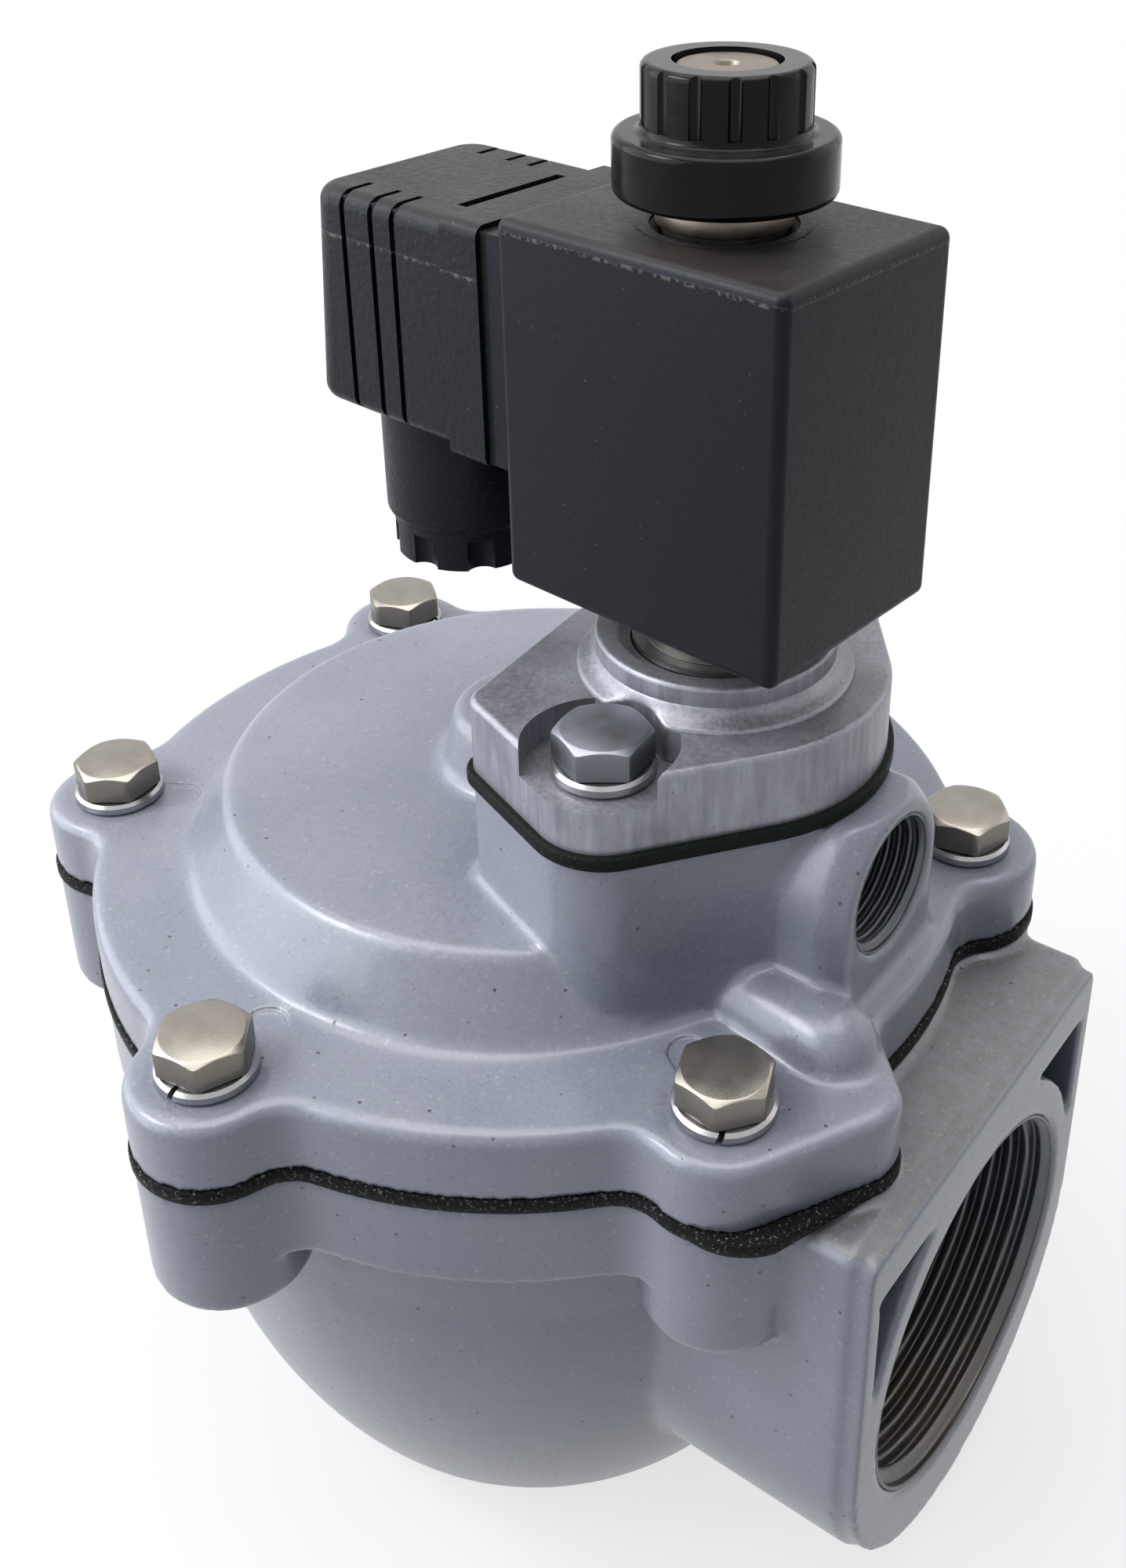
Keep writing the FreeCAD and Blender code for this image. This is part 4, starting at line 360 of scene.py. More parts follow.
def bolt_marks(tree, where):
    """The crisp edge of the same marks, for the paint's bump: nought in a mark and one outside."""
    split = add_node(tree, "SeparateXYZ", {0: where})
    x, y = split.outputs[0], split.outputs[1]
    ang = add_node(tree, "Math", {0: y, 1: x}, operation="ARCTAN2")
    shifted = add_node(tree, "Math", {0: ang.outputs[0], 1: math.pi * 2}, operation="ADD")
    step = math.radians(60)
    part = add_node(tree, "Math", {0: shifted.outputs[0], 1: step}, operation="MODULO")
    off = add_node(tree, "Math", {0: part.outputs[0], 1: step / 2}, operation="SUBTRACT")
    xx = add_node(tree, "Math", {0: x, 1: x}, operation="MULTIPLY")
    rr = add_node(tree, "Math", {0: y, 1: y, 2: xx.outputs[0]}, operation="MULTIPLY_ADD")
    r = add_node(tree, "Math", {0: rr.outputs[0], 1: 0.5}, operation="POWER")
    across = add_node(tree, "Math", {0: off.outputs[0], 1: r.outputs[0]}, operation="MULTIPLY")
    near = add_node(tree, "Math", {0: r.outputs[0], 1: EJECTOR_R}, operation="MAXIMUM")
    along = add_node(tree, "Math", {0: r.outputs[0], 1: near.outputs[0]}, operation="SUBTRACT")
    aa = add_node(tree, "Math", {0: along.outputs[0], 1: along.outputs[0]}, operation="MULTIPLY")
    dd = add_node(tree, "Math", {0: across.outputs[0], 1: across.outputs[0], 2: aa.outputs[0]},
                  operation="MULTIPLY_ADD")
    d = add_node(tree, "Math", {0: dd.outputs[0], 1: 0.5}, operation="POWER")
    edge = add_node(tree, "MapRange", {0: d.outputs[0], 1: 0.0023, 2: 0.0026, 3: 0.0, 4: 1.0})
    deck = add_node(tree, "MapRange", {0: split.outputs[2], 1: DECK_LOW, 2: 0.0850, 3: 0.0, 4: 1.0})
    roof = add_node(tree, "MapRange", {0: split.outputs[2], 1: 0.0854, 2: DECK_HIGH, 3: 1.0, 4: 0.0})
    flat = add_node(tree, "Math", {0: deck.outputs[0], 1: roof.outputs[0]}, operation="MULTIPLY")
    inward = add_node(tree, "MapRange", {0: r.outputs[0], 1: 0.0570, 2: 0.0572, 3: 1.0, 4: 0.0})
    low = add_node(tree, "Math", {0: 1.0, 1: edge.outputs[0]}, operation="SUBTRACT")
    held = add_node(tree, "Math", {0: low.outputs[0], 1: inward.outputs[0]}, operation="MULTIPLY")
    cut = add_node(tree, "Math", {0: held.outputs[0], 1: flat.outputs[0]}, operation="MULTIPLY")
    up = add_node(tree, "Math", {0: 1.0, 1: cut.outputs[0]}, operation="SUBTRACT")
    return up.outputs[0]


cover_paint = casting_paint("cover_paint", 0.91, marks=True)
upper = pressed_marks(cast_copy("bonnet", "cover_casting", 176000))
dress(upper, cover_paint, "valve", "casting_paint", "bonnet")


# Pipe threads: cut in the bare metal of the three ports, dark with oil and a little brown dirt
# where it settles at the bottom.
def bore_metal():
    """Dark machined metal, browner towards the bottom of the inlet."""
    mat, tree, bsdf, where = shader("bore_metal")
    dirt = add_node(tree, "TexNoise", {"Vector": where, "Scale": 220, "Detail": 5, "Roughness": 0.65})
    split = add_node(tree, "SeparateXYZ", {0: where})
    low = add_node(tree, "MapRange", {0: split.outputs[2], 1: 0.034, 2: 0.015, 3: 0.0, 4: 0.85})
    share = add_node(tree, "Math", {0: low.outputs[0], 1: dirt.outputs[0]}, operation="MULTIPLY")
    tone = add_node(tree, "Mix", {0: share.outputs[0], 6: (0.105, 0.112, 0.128, 1),
                                  7: (0.15, 0.115, 0.075, 1)}, data_type="RGBA")
    tree.links.new(tone.outputs[2], bsdf.inputs["Base Color"])
    bsdf.inputs["Metallic"].default_value = 0.7
    rough = add_node(tree, "MapRange", {0: dirt.outputs[0], 1: 0.3, 2: 0.7, 3: 0.28, 4: 0.5})
    tree.links.new(rough.outputs[0], bsdf.inputs["Roughness"])
    bump = add_node(tree, "Bump", {"Height": dirt.outputs[0], "Strength": 0.3, "Distance": 0.0001})
    tree.links.new(bump.outputs[0], bsdf.inputs["Normal"])
    return mat


def thread_sleeve(name, start, way, root, crest, pitch, length, around):
    """A ring of helical ridges that lines a bore from its mouth inwards."""
    rows_per_turn = 10
    wall = 0.0003
    rows = int(length / pitch * rows_per_turn)
    out = Vector(way)
    side = Vector((0, 1, 0))
    up = out.cross(side)
    verts = []
    for i in range(rows + 1):
        depth = length * i / rows
        fade = min(1.0, depth / pitch)
        for j in range(around):
            a = 2 * math.pi * j / around
            f = (depth / pitch + j / around) % 1.0
            tooth = max(0.0, min(1.0, 1.6 * (0.5 - 0.5 * math.cos(2 * math.pi * f)) - 0.25))
            r = root - (root - crest) * tooth * fade
            p = Vector(start) - out * depth + (side * math.cos(a) + up * math.sin(a)) * r
            verts.append(p)
    inner = len(verts)
    for i in (0, rows):
        depth = length * i / rows
        for j in range(around):
            a = 2 * math.pi * j / around
            p = Vector(start) - out * depth + (side * math.cos(a) + up * math.sin(a)) * (root + wall)
            verts.append(p)
    faces = []
    for i in range(rows):
        for j in range(around):
            k = (j + 1) % around
            a = i * around
            faces.append((a + j, a + k, a + around + k, a + around + j))
    for j in range(around):
        k = (j + 1) % around
        faces.append((j, inner + j, inner + k, k))
        last = rows * around
        faces.append((last + j, last + k, inner + around + k, inner + around + j))
        faces.append((inner + j, inner + around + j, inner + around + k, inner + k))
    mesh = bpy.data.meshes.new(name)
    mesh.from_pydata(verts, [], faces)
    bm = bmesh.new()
    bm.from_mesh(mesh)
    bmesh.ops.recalc_face_normals(bm, faces=bm.faces)
    bm.to_mesh(mesh)
    bm.free()
    mesh.shade_smooth()
    obj = bpy.data.objects.new(name, mesh)
    bpy.context.scene.collection.objects.link(obj)
    dress(obj, bare_bore, "valve", "casting_paint")


bare_bore = bore_metal()
thread_sleeve("inlet_thread", (0.0686, 0, 0.0399), (1, 0, 0), 0.0238, 0.0224, 0.002309, 0.0212, 120)
thread_sleeve("outlet_thread", (0, 0, 0.0003), (0, 0, -1), 0.0238, 0.0224, 0.002309, 0.0212, 120)
thread_sleeve("exhaust_thread", (0.0533, 0, 0.0982), (1, 0, 0), 0.0083, 0.00747, 0.001337, 0.0115, 80)


# Diaphragms: the black rubber sheet clamped between the flanges, with threads of its fabric
# showing in the cut edge, and the smaller one under the pilot plate. Their clamped rims are cut off
# as pieces of their own.
def flat_faced(obj):
    """Lets the large faces keep their own normals beside the small rounded edges."""
    even = obj.modifiers.new("even", "WEIGHTED_NORMAL")
    even.keep_sharp = True
    even.weight = 80
    return settle(obj)


def trimmed(node, name, edge=0.0, segments=2, rigid=True):
    """A copy in the solid's own shape, with joined faces and a small broken edge."""
    sharp = math.radians(32)
    obj = merged(node, name)
    bm = bmesh.new()
    bm.from_mesh(obj.data)
    bmesh.ops.dissolve_limit(bm, angle_limit=math.radians(0.6), verts=bm.verts, edges=bm.edges)
    bm.to_mesh(obj.data)
    bm.free()
    if edge:
        bevel = obj.modifiers.new("edge", "BEVEL")
        bevel.width = edge
        bevel.segments = segments
        bevel.limit_method = "ANGLE"
        bevel.angle_limit = sharp
        settle(obj)
    bm = bmesh.new()
    bm.from_mesh(obj.data)
    for f in bm.faces:
        f.smooth = True
    for e in bm.edges:
        e.smooth = e.calc_face_angle(0) < sharp
    bm.to_mesh(obj.data)
    bm.free()
    return flat_faced(obj) if rigid else obj


def rubber(name, base, fibre):
    """Matt black rubber; fibre says how much of the woven threads shows."""
    mat, tree, bsdf, where = shader(name)
    weave = add_node(tree, "TexNoise", {"Vector": where, "Scale": 2400, "Detail": 3, "Roughness": 0.7})
    lint = add_node(tree, "MapRange", {0: weave.outputs[0], 1: 0.58, 2: 0.70, 3: 0.0, 4: fibre})
    tone = add_node(tree, "Mix", {0: lint.outputs[0], 6: base, 7: (0.30, 0.30, 0.31, 1)}, data_type="RGBA")
    tree.links.new(tone.outputs[2], bsdf.inputs["Base Color"])
    bsdf.inputs["Roughness"].default_value = 0.5
    bsdf.inputs["Specular IOR Level"].default_value = 0.08
    bump = add_node(tree, "Bump", {"Height": weave.outputs[0], "Strength": 0.6, "Distance": 0.0002})
    tree.links.new(bump.outputs[0], bsdf.inputs["Normal"])
    return mat


def clamped_rim(obj, name, centre, radius):
    """Cuts the rim that the castings clamp off a sheet, and returns it as a piece of its own."""
    bm = bmesh.new()
    bmesh.ops.create_cone(bm, cap_ends=True, segments=144, radius1=radius, radius2=radius, depth=0.06,
                          matrix=Matrix.Translation(centre))
    ring = bpy.data.meshes.new("clamp")
    bm.to_mesh(ring)
    bm.free()
    knife = bpy.data.objects.new("clamp", ring)
    bpy.context.scene.collection.objects.link(knife)
    rim = bpy.data.objects.new(name, obj.data.copy())
    bpy.context.scene.collection.objects.link(rim)
    for piece, way in ((obj, "INTERSECT"), (rim, "DIFFERENCE")):
        cut = piece.modifiers.new("cut", "BOOLEAN")
        cut.object = knife
        cut.operation = way
        cut.solver = "EXACT"
        settle(piece)
    bpy.data.objects.remove(knife)
    bpy.data.meshes.remove(ring)
    return rim


sheet_rubber = rubber("sheet_rubber", (0.006, 0.006, 0.007, 1), 0.8)
smooth_rubber = rubber("smooth_rubber", (0.006, 0.009, 0.007, 1), 0.1)
main_sheet = trimmed("main_diaphragm", "main_sheet", 0.0004, rigid=False)
BOLT_R = 0.057
PILOT_X = 0.0286
ear = Vector((BOLT_R * math.cos(math.radians(-30)), BOLT_R * math.sin(math.radians(-30))))
for vert in main_sheet.data.vertices:
    away = vert.co.xy - ear
    if 0.0075 < away.length < 0.0135 and vert.co.xy.length > 0.048:
        push = max(0.0, math.cos(math.atan2(away.y, away.x) - math.radians(14))) ** 0.8
        vert.co.xy += away.normalized() * 0.0026 * push
main_rim = clamped_rim(main_sheet, "main_sheet_rim", (0, 0, 0.08), 0.0472)
dress(main_rim, sheet_rubber, "valve", "black_rubber")
dress(main_sheet, sheet_rubber, "valve", "black_rubber", "main_diaphragm")
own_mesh(main_sheet)
pilot_sheet = trimmed("pilot_diaphragm", "pilot_sheet", 0.0007, 3, rigid=False)
pilot_rim = clamped_rim(pilot_sheet, "pilot_sheet_rim", (PILOT_X, 0, 0.11), 0.0142)
dress(pilot_rim, smooth_rubber, "valve", "black_rubber")
dress(pilot_sheet, smooth_rubber, "valve", "black_rubber", "pilot_diaphragm")
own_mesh(pilot_sheet)


# Screws: stainless hexagon screws with split spring washers, six round the flange and two on
# the pilot plate, each turned as it was left.
def stainless(name, tone, rough_low, rough_high, flank=1.0):
    """Smeared steel; flank darkens the colour of its upright faces as painted shade."""
    mat, tree, bsdf, where = shader(name)
    smear = add_node(tree, "TexNoise", {"Vector": where, "Scale": 300, "Detail": 3, "Roughness": 0.5})
    fine = add_node(tree, "TexNoise", {"Vector": where, "Scale": 3500, "Detail": 2})
    color = add_node(tree, "ValToRGB", {0: smear.outputs[0]})
    color.color_ramp.elements[0].position = 0.3
    color.color_ramp.elements[0].color = (tone[0] * 0.88, tone[1] * 0.87, tone[2] * 0.84, 1)
    color.color_ramp.elements[1].position = 0.75
    color.color_ramp.elements[1].color = (tone[0], tone[1], tone[2], 1)
    form = add_node(tree, "NewGeometry")
    tilt = add_node(tree, "SeparateXYZ", {0: form.outputs["Normal"]})
    # painted shade: upright faces get a darker colour than level ones, standing in for less light on them
    painted_flank_shade = add_node(tree, "MapRange", {0: tilt.outputs[2], 1: 0.1, 2: 0.8, 3: flank, 4: 1.0})
    flank_shaded_color = add_node(tree, "VectorMath", {0: color.outputs[0], "Scale": painted_flank_shade.outputs[0]}, operation="SCALE")
    tree.links.new(flank_shaded_color.outputs[0], bsdf.inputs["Base Color"])
    bsdf.inputs["Metallic"].default_value = 0.92
    rough = add_node(tree, "MapRange", {0: smear.outputs[0], 1: 0.3, 2: 0.7, 3: rough_low, 4: rough_high})
    tree.links.new(rough.outputs[0], bsdf.inputs["Roughness"])
    bump = add_node(tree, "Bump", {"Height": fine.outputs[0], "Strength": 0.12, "Distance": 0.00008})
    tree.links.new(bump.outputs[0], bsdf.inputs["Normal"])
    return mat


def hex_head_mesh():
    """One head with its chamfered top and the shank below, seat at z 0."""
    flats = 0.010
    high = 0.004
    shank = 0.00295
    deep = -0.020
    crown = flats * 0.478
    around = 96
    tall = math.tan(math.radians(28))
    profile = []
    for j in range(around):
        a = 2 * math.pi * j / around
        fold = (a % math.radians(60)) - math.radians(30)
        hexr = min(flats / 2 / math.cos(fold), flats / 2 / math.cos(math.radians(30)) * 0.982)
        profile.append((a, hexr))
    rings = []
    rings.append([(a, crown * 0.97, high) for a, h in profile])
    rings.append([(a, crown, high - 0.00005) for a, h in profile])
    rings.append([(a, h - 0.00008, high - 0.00005 - (h - crown) * tall) for a, h in profile])
    rings.append([(a, h, high - 0.00025 - (h - crown) * tall) for a, h in profile])
    rings.append([(a, h, 0.0003) for a, h in profile])
    rings.append([(a, h - 0.0002, 0.0001) for a, h in profile])
    rings.append([(a, flats * 0.46, 0.0) for a, h in profile])
    rings.append([(a, shank, 0.0) for a, h in profile])
    rings.append([(a, shank, deep + 0.0005) for a, h in profile])
    rings.append([(a, 0.0024, deep) for a, h in profile])
    verts = [Vector((0, 0, high))]
    for ring in rings:
        for a, r, z in ring:
            verts.append(Vector((r * math.cos(a), r * math.sin(a), z)))
    verts.append(Vector((0, 0, deep)))
    faces = []
    for j in range(around):
        k = (j + 1) % around
        faces.append((0, 1 + j, 1 + k))
        for i in range(len(rings) - 1):
            a = 1 + i * around
            faces.append((a + j, a + around + j, a + around + k, a + k))
        a = 1 + (len(rings) - 1) * around
        faces.append((a + j, len(verts) - 1, a + k))
    return verts, faces


def washer_mesh():
    """One spring washer: a round-edged ring, split on a slant, its ends a little apart."""
    high = 0.0016
    mid = high / 2
    section = [(0.0032, 0.0003), (0.0035, 0.0), (0.0054, 0.0), (0.0058, 0.0004),
               (0.0058, high - 0.0004), (0.0054, high), (0.0035, high), (0.0032, high - 0.0003)]
    steps = 72
    gap = math.radians(7)
    verts = []
    for i in range(steps + 1):
        share = i / steps
        for r, z in section:
            lean = (z - mid) * 60
            a = gap / 2 + (2 * math.pi - gap) * share + math.radians(lean * 60) * (abs(share - 0.5) > 0.47)
            verts.append(Vector((r * math.cos(a), r * math.sin(a), z)))
    n = len(section)
    faces = []
    for i in range(steps):
        for j in range(n):
            k = (j + 1) % n
            faces.append((i * n + j, i * n + k, (i + 1) * n + k, (i + 1) * n + j))
    faces.append(tuple(range(n)))
    faces.append(tuple(reversed(range(steps * n, steps * n + n))))
    return verts, faces


def pattern_part(name, verts, faces, angle):
    """A closed mesh with its faces outwards, smooth where they meet at less than angle."""
    mesh = bpy.data.meshes.new(name)
    mesh.from_pydata(verts, [], faces)
    bm = bmesh.new()
    bm.from_mesh(mesh)
    bmesh.ops.recalc_face_normals(bm, faces=bm.faces)
    for f in bm.faces:
        f.smooth = True
    for e in bm.edges:
        e.smooth = e.calc_face_angle(0) < math.radians(angle)
    bm.to_mesh(mesh)
    bm.free()
    return mesh


def set_out(name, part, seats, mat):
    """Puts one part on every seat, given as place and turn, with geometry nodes."""
    mesh = bpy.data.meshes.new(name)
    mesh.from_pydata([s[0] for s in seats], [], [])
    turns = mesh.attributes.new("turn", "FLOAT", "POINT")
    for i, s in enumerate(seats):
        turns.data[i].value = math.radians(s[1])
    obj = bpy.data.objects.new(name, mesh)
    bpy.context.scene.collection.objects.link(obj)
    sample = bpy.data.objects.new(name + "_sample", part)
    tree = bpy.data.node_groups.new(name + "_layout", "GeometryNodeTree")
    face = tree.interface
    face.new_socket("Seats", in_out="INPUT", socket_type="NodeSocketGeometry")
    face.new_socket("Part", in_out="INPUT", socket_type="NodeSocketObject")
    finish = face.new_socket("Finish", in_out="INPUT", socket_type="NodeSocketMaterial")
    face.new_socket("Parts", in_out="OUTPUT", socket_type="NodeSocketGeometry")
    start = tree.nodes.new("NodeGroupInput")
    info = tree.nodes.new("GeometryNodeObjectInfo")
    read = tree.nodes.new("GeometryNodeInputNamedAttribute")
    read.data_type = "FLOAT"
    read.inputs["Name"].default_value = "turn"
    spin = tree.nodes.new("ShaderNodeCombineXYZ")
    put = tree.nodes.new("GeometryNodeInstanceOnPoints")
    real = tree.nodes.new("GeometryNodeRealizeInstances")
    coat = tree.nodes.new("GeometryNodeSetMaterial")
    end = tree.nodes.new("NodeGroupOutput")
    tree.links.new(start.outputs["Part"], info.inputs["Object"])
    tree.links.new(start.outputs["Seats"], put.inputs["Points"])
    tree.links.new(info.outputs["Geometry"], put.inputs["Instance"])
    tree.links.new(read.outputs[0], spin.inputs[2])
    tree.links.new(spin.outputs[0], put.inputs["Rotation"])
    tree.links.new(put.outputs[0], real.inputs[0])
    tree.links.new(real.outputs[0], coat.inputs[0])
    tree.links.new(start.outputs["Finish"], coat.inputs["Material"])
    tree.links.new(coat.outputs[0], end.inputs[0])
    layout = obj.modifiers.new("layout", "NODES")
    layout.node_group = tree
    for item in face.items_tree:
        if item.name == "Part" and item.in_out == "INPUT":
            layout[item.identifier] = sample
    layout[finish.identifier] = mat
    settle(obj)
    bpy.data.objects.remove(sample)
    return obj


# The last number of each steel darkens its upright faces as painted shade.
nickel = stainless("nickel_steel", (0.345, 0.32, 0.29), 0.24, 0.34, 0.5)
dull_steel = stainless("dull_steel", (0.33, 0.345, 0.40), 0.38, 0.48, 0.42)
washer_steel = stainless("washer_steel", (0.44, 0.44, 0.46), 0.22, 0.36, 0.8)
HEAD_TURN = (12, 4, 22, 37, 8, 52)
SPLIT_TURN = (80, 200, 15, 140, 275, -62)
DECK_Z = 0.0849
PLATE_SEAT_Z = 0.1157
LOCK_TALL = 0.0016
SEAT_X = 0.028
SEAT_Y = 0.021
flange_heads = []
washers = []
for i in range(6):
    a = math.radians(30 + 60 * i)
    x = BOLT_R * math.cos(a)
    y = BOLT_R * math.sin(a)
    flange_heads.append(((x, y, DECK_Z + LOCK_TALL), HEAD_TURN[i]))
    washers.append(((x, y, DECK_Z), SPLIT_TURN[i]))
pilot_heads = []
for y, head, split in ((-SEAT_Y, 36, 100), (SEAT_Y, 66, 200)):
    pilot_heads.append(((SEAT_X, y, PLATE_SEAT_Z + LOCK_TALL), head))
    washers.append(((SEAT_X, y, PLATE_SEAT_Z), split))
screw = pattern_part("hexagon_screw", *hex_head_mesh(), 24)
heads = set_out("flange_screws", screw, flange_heads, nickel)
dress(heads, nickel, "valve", "stainless", *["flange_bolt_%d" % i for i in range(1, 7)])
heads = set_out("pilot_screws", screw, pilot_heads, dull_steel)
dress(heads, dull_steel, "valve", "stainless", "pilot_bolt_1", "pilot_bolt_2")
rings = set_out("spring_washers", pattern_part("spring_washer", *washer_mesh(), 40), washers, washer_steel)
dress(rings, washer_steel, "valve", "stainless", *["flange_lock_washer_%d" % i for i in range(1, 7)],
      "pilot_lock_washer_1", "pilot_lock_washer_2")


# Pilot plate: a casting in bare aluminium. Its top and the flared boss are fine sand, the sides are
# filed upright, and an end mill has cut the two screw seats; the boss has a shallow dished top.
def bare_casting():
    """Bare aluminium: sand on the level faces, file strokes on the upright ones, a few pits."""
    mat, tree, bsdf, where = shader("bare_casting")
    streak = add_node(tree, "Mapping", {"Vector": where, "Scale": (1, 1, 0.10)})
    files = add_node(tree, "TexNoise", {"Vector": streak.outputs[0], "Scale": 1100, "Detail": 3,
                                        "Roughness": 0.6})
    sand = add_node(tree, "TexNoise", {"Vector": where, "Scale": 1700, "Detail": 4, "Roughness": 0.65})
    stain = add_node(tree, "TexNoise", {"Vector": where, "Scale": 130, "Detail": 5, "Roughness": 0.6})
    form = add_node(tree, "NewGeometry")
    tilt = add_node(tree, "SeparateXYZ", {0: form.outputs["Normal"]})
    flat = add_node(tree, "MapRange", {0: tilt.outputs[2], 1: 0.1, 2: 0.6, 3: 0.0, 4: 1.0})
    height = add_node(tree, "Mix", {0: flat.outputs[0], 2: files.outputs[0], 3: sand.outputs[0]},
                      data_type="FLOAT")
    mixed = add_node(tree, "Math", {0: height.outputs[0], 1: stain.outputs[0]}, operation="ADD")
    half = add_node(tree, "Math", {0: mixed.outputs[0], 1: 0.5}, operation="MULTIPLY")
    tone = add_node(tree, "ValToRGB", {0: half.outputs[0]})
    tone.color_ramp.elements[0].position = 0.34
    tone.color_ramp.elements[0].color = (0.20, 0.20, 0.23, 1)
    tone.color_ramp.elements[1].position = 0.66
    tone.color_ramp.elements[1].color = (0.37, 0.375, 0.425, 1)
    pits = fine_dots(tree, where, 620, 0.10)
    pick = add_node(tree, "MapRange", {0: stain.outputs[0], 1: 0.47, 2: 0.55, 3: 0, 4: 0.7})
    both = add_node(tree, "Math", {0: pits, 1: pick.outputs[0]}, operation="MULTIPLY")
    specked = add_node(tree, "Mix", {0: both.outputs[0], 6: tone.outputs[0], 7: (0.06, 0.06, 0.065, 1)},
                       data_type="RGBA")
    tree.links.new(specked.outputs[2], bsdf.inputs["Base Color"])
    bsdf.inputs["Metallic"].default_value = 0.5
    rough = add_node(tree, "MapRange", {0: sand.outputs[0], 1: 0.3, 2: 0.7, 3: 0.32, 4: 0.46})
    tree.links.new(rough.outputs[0], bsdf.inputs["Roughness"])
    bump = add_node(tree, "Bump", {"Height": height.outputs[0], "Strength": 0.35, "Distance": 0.00012})
    tree.links.new(bump.outputs[0], bsdf.inputs["Normal"])
    return mat


def round_ring(name, profile, around=128, keep_off=()):
    """A closed ring turned about the pilot axis; keep_off lists round cuts that it stays out of."""
    x = PILOT_X
    verts = []
    for j in range(around):
        a = 2 * math.pi * j / around
        inner = profile[0][0]
        for r, z in profile:
            for cx, cy, cr in keep_off:
                while r > inner and math.hypot(x + r * math.cos(a) - cx, r * math.sin(a) - cy) < cr:
                    r -= 0.0001
            verts.append((x + r * math.cos(a), r * math.sin(a), z))
    n = len(profile)
    faces = []
    for j in range(around):
        k = (j + 1) % around
        for i in range(n):
            m = (i + 1) % n
            faces.append((j * n + i, k * n + i, k * n + m, j * n + m))
    return pattern_part(name, verts, faces, 50)


def with_ring(obj, ring):
    """Adds a ring to a piece's own mesh."""
    bm = bmesh.new()
    bm.from_mesh(obj.data)
    bm.from_mesh(ring)
    bm.to_mesh(obj.data)
    bm.free()
    bpy.data.meshes.remove(ring)
    flat_faced(obj)


plate = trimmed("pilot_plate", "pilot_cover", 0.0005, 3)
foot = [(0.0136, 0.1158), (0.0136, 0.1221), (0.01395, 0.1220), (0.0142, 0.1215), (0.0146, 0.1210),
        (0.0152, 0.1206), (0.0158, 0.1203), (0.0161, 0.1201), (0.0162, 0.1197), (0.0162, 0.1158)]
dish = [(0.00995, 0.1228), (0.00995, 0.12305), (0.0112, 0.12315), (0.0117, 0.1235), (0.0121, 0.1239),
        (0.0121, 0.1228)]
SEATS = ((SEAT_X, -0.0212, 0.0068), (SEAT_X, 0.0212, 0.0068))
with_ring(plate, round_ring("boss_foot", foot, 160, SEATS))
with_ring(plate, round_ring("boss_dish", dish))
dress(plate, bare_casting(), "valve", "machined_aluminium", "pilot_plate")


# Armature tube: turned stainless steel with the fixed core and its stud, and the rubber rings.
# A steel collar under the knob has gone dull and brown with weather.
# The last number of each steel darkens its upright faces a little as painted shade.
turned_steel = stainless("turned_steel", (0.34, 0.33, 0.325), 0.26, 0.40, 0.8)
worn_steel = stainless("worn_steel", (0.25, 0.215, 0.185), 0.34, 0.5, 0.9)
tube = trimmed("armature_tube", "plunger_tube", 0.00015)
dress(tube, turned_steel, "valve", "stainless", "armature_tube")
collar = [(0.0064, 0.17215), (0.0064, 0.1749), (0.0069, 0.1749), (0.0072, 0.1746), (0.0072, 0.17245),
          (0.0070, 0.17215)]
ring = bpy.data.objects.new("stud_collar", round_ring("stud_collar", collar, 96))
bpy.context.scene.collection.objects.link(ring)
dress(ring, worn_steel, "valve", "stainless")
dress(trimmed("fixed_core", "core_stud", 0.00015), worn_steel, "valve", "stainless", "fixed_core")
dress(trimmed("tube_ring", "tube_o_ring", 0.00015), smooth_rubber, "valve", "black_rubber", "tube_ring")


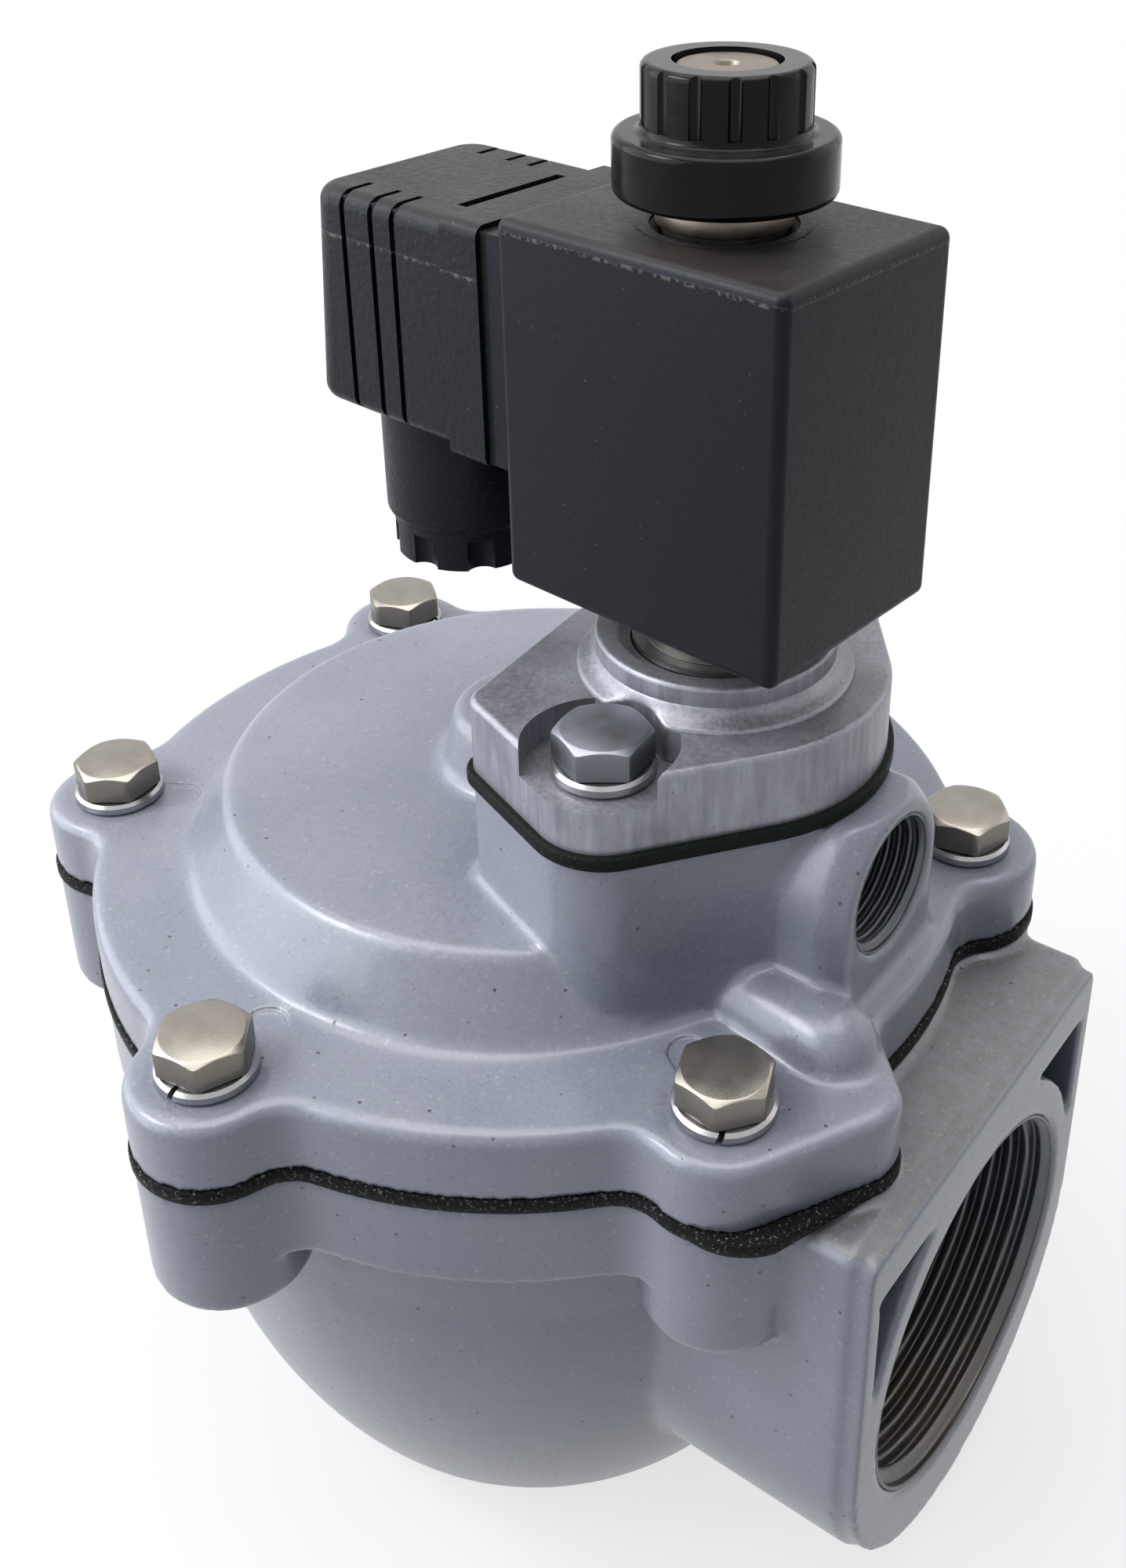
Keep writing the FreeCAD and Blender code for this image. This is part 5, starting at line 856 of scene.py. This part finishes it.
# Coil: a block moulded in black plastic round the winding. Its long sides keep the spark
# texture of the mould, the top has gathered brown dust, and the parting line is scuffed.
def moulding(name, dust, tex, rough_bump, line):
    """Black plastic with spark texture, dust on top and a scuffed parting line at height line."""
    mat, tree, bsdf, where = shader(name)
    turned = add_node(tree, "Mapping", {"Vector": where, "Location": (PILOT_X, 0, 0),
                                        "Rotation": (0, 0, COIL_TURN)}, vector_type="TEXTURE")
    own = turned.outputs[0]
    spark = add_node(tree, "TexNoise", {"Vector": own, "Scale": tex, "Detail": 2, "Roughness": 0.5})
    soft = add_node(tree, "TexNoise", {"Vector": own, "Scale": 90, "Detail": 4})
    form = add_node(tree, "NewGeometry")
    tilt = add_node(tree, "SeparateXYZ", {0: form.outputs["Normal"]})
    spot = add_node(tree, "SeparateXYZ", {0: own})
    top = add_node(tree, "MapRange", {0: tilt.outputs[2], 1: 0.3, 2: 0.95, 3: 0.0, 4: dust})
    patchy = add_node(tree, "MapRange", {0: soft.outputs[0], 1: 0.25, 2: 0.7, 3: 0.45, 4: 1.0})
    laid = add_node(tree, "Math", {0: top.outputs[0], 1: patchy.outputs[0]}, operation="MULTIPLY")
    tone = add_node(tree, "Mix", {0: laid.outputs[0], 6: (0.0060, 0.0066, 0.0100, 1),
                                  7: (0.044, 0.038, 0.036, 1)}, data_type="RGBA")
    motes = fine_dots(tree, own, 620, 0.085)
    few = add_node(tree, "MapRange", {0: soft.outputs[0], 1: 0.48, 2: 0.60, 3: 0.05, 4: 0.55})
    mote = add_node(tree, "Math", {0: motes, 1: few.outputs[0]}, operation="MULTIPLY")
    dusty = add_node(tree, "Mix", {0: mote.outputs[0], 6: tone.outputs[2], 7: (0.17, 0.15, 0.125, 1)},
                     data_type="RGBA")
    off = add_node(tree, "Math", {0: spot.outputs[2], 1: line}, operation="SUBTRACT")
    near = add_node(tree, "Math", {0: off.outputs[0]}, operation="ABSOLUTE")
    seam = add_node(tree, "MapRange", {0: near.outputs[0], 1: 0.0003, 2: 0.00012, 3: 0.0, 4: 1.0})
    frayed = add_node(tree, "TexNoise", {"Vector": own, "Scale": 1400, "Detail": 3})
    fray = add_node(tree, "MapRange", {0: frayed.outputs[0], 1: 0.50, 2: 0.60, 3: 0.0, 4: 0.8})
    side = add_node(tree, "MapRange", {0: tilt.outputs[2], 1: 0.7, 2: 0.4, 3: 0.0, 4: 1.0})
    scuff = add_node(tree, "Math", {0: seam.outputs[0], 1: fray.outputs[0]}, operation="MULTIPLY")
    scuffed = add_node(tree, "Math", {0: scuff.outputs[0], 1: side.outputs[0]}, operation="MULTIPLY")
    final = add_node(tree, "Mix", {0: scuffed.outputs[0], 6: dusty.outputs[2], 7: (0.13, 0.115, 0.10, 1)},
                     data_type="RGBA")
    tree.links.new(final.outputs[2], bsdf.inputs["Base Color"])
    rough = add_node(tree, "MapRange", {0: spark.outputs[0], 1: 0.3, 2: 0.7, 3: 0.34, 4: 0.46})
    tree.links.new(rough.outputs[0], bsdf.inputs["Roughness"])
    bsdf.inputs["Specular IOR Level"].default_value = 0.17
    bsdf.inputs["Specular Tint"].default_value = (0.86, 0.91, 1.0, 1)
    bump = add_node(tree, "Bump", {"Height": spark.outputs[0], "Strength": rough_bump, "Distance": 0.00015})
    ridge = add_node(tree, "Bump", {"Height": seam.outputs[0], "Strength": 0.5, "Distance": 0.00010,
                                    "Normal": bump.outputs[0]})
    tree.links.new(ridge.outputs[0], bsdf.inputs["Normal"])
    return mat


COIL_TURN = math.radians(174.7)
coil_plastic = moulding("coil_plastic", 0.8, 1700, 0.16, 0.1706)
plug_plastic = moulding("plug_plastic", 0.7, 1300, 0.55, 0.1640)
block = trimmed("coil_housing", "coil_block", 0.0011, 4)
rim = [(0.0078, 0.17186), (0.0078, 0.17196), (0.0080, 0.17205), (0.0092, 0.17205), (0.0092, 0.17186)]
with_ring(block, round_ring("coil_rim", rim, 96))
dress(block, coil_plastic, "coil", "black_moulding", "coil_housing")


# Plug: the black hood that is screwed to the coil's terminals, with its flat seal, gland neck
# and lobed gland nut.
for node, name, mat, slot, edge in (
        ("plug_housing", "plug_hood", plug_plastic, "black_moulding", 0.0005),
        ("gland_nut", "gland_ring", plug_plastic, "black_moulding", 0.0003),
        ("plug_flat_seal", "plug_seal", smooth_rubber, "black_rubber", 0.0),
        ("gland_grommet", "gland_rubber", smooth_rubber, "black_rubber", 0.0002),
        ("plug_screw", "plug_bolt", turned_steel, "stainless", 0.0001)):
    dress(trimmed(node, name, edge), mat, "coil", slot, node)


# Knob: glossy black moulded nut with a fluted grip, screwed on the stud.
def gloss_black():
    """Glossy moulded black, a little hazy, with brown dust on its flat top."""
    mat, tree, bsdf, where = shader("gloss_black")
    haze = add_node(tree, "TexNoise", {"Vector": where, "Scale": 420, "Detail": 4})
    form = add_node(tree, "NewGeometry")
    tilt = add_node(tree, "SeparateXYZ", {0: form.outputs["Normal"]})
    top = add_node(tree, "MapRange", {0: tilt.outputs[2], 1: 0.6, 2: 0.98, 3: 0.0, 4: 0.8})
    dust = add_node(tree, "Math", {0: top.outputs[0], 1: haze.outputs[0]}, operation="MULTIPLY")
    tone = add_node(tree, "Mix", {0: dust.outputs[0], 6: (0.0030, 0.0030, 0.0038, 1),
                                  7: (0.045, 0.042, 0.038, 1)}, data_type="RGBA")
    tree.links.new(tone.outputs[2], bsdf.inputs["Base Color"])
    bsdf.inputs["Specular IOR Level"].default_value = 0.14
    rough = add_node(tree, "MapRange", {0: haze.outputs[0], 1: 0.3, 2: 0.7, 3: 0.10, 4: 0.22})
    tree.links.new(rough.outputs[0], bsdf.inputs["Roughness"])
    bump = add_node(tree, "Bump", {"Height": haze.outputs[0], "Strength": 0.06, "Distance": 0.0002})
    tree.links.new(bump.outputs[0], bsdf.inputs["Normal"])
    return mat


dress(trimmed("knob_nut", "coil_knob", 0.0004, 3), gloss_black(), "knob", "gloss_black", "knob_nut")


# Springs: wound steel wire over the main diaphragm, over the pilot diaphragm and in the plunger.
spring_steel = stainless("spring_steel", (0.50, 0.50, 0.52), 0.22, 0.36)
SPRINGS = (("main_spring", "main_lift", 0.1002, 0.009),
           ("pilot_spring", "pilot_lift", 0.1145, 0.003),
           ("plunger_spring", "plunger_lift", 0.1502, 0.002))
for node, joint, seat, travel in SPRINGS:
    turns = trimmed(node, node + "_turns", rigid=False)
    dress(turns, spring_steel, "valve", "spring_steel", node)
    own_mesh(turns)


# Inner parts: out of sight behind the castings, with their own finishes on the solids' meshes.
copper = stainless("copper_wire", (0.72, 0.36, 0.18), 0.3, 0.4)
brass = stainless("tinned_brass", (0.74, 0.66, 0.45), 0.22, 0.36)
INNER = {"main_seat_pad": smooth_rubber, "diaphragm_lower_plate": turned_steel,
         "diaphragm_upper_plate": turned_steel, "centre_screw": turned_steel, "centre_nut": turned_steel,
         "pilot_cup": turned_steel, "plunger": turned_steel, "plunger_seal": smooth_rubber,
         "coil_yoke": turned_steel, "coil_bobbin": plug_plastic, "coil_winding": copper,
         "coil_top_ring": smooth_rubber, "live_blade_1": brass, "live_blade_2": brass, "earth_blade": brass,
         "terminal_block": plug_plastic, "gland_washer": turned_steel}
for node, mat in INNER.items():
    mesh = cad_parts[node].data
    mesh.materials.clear()
    mesh.materials.append(mat)
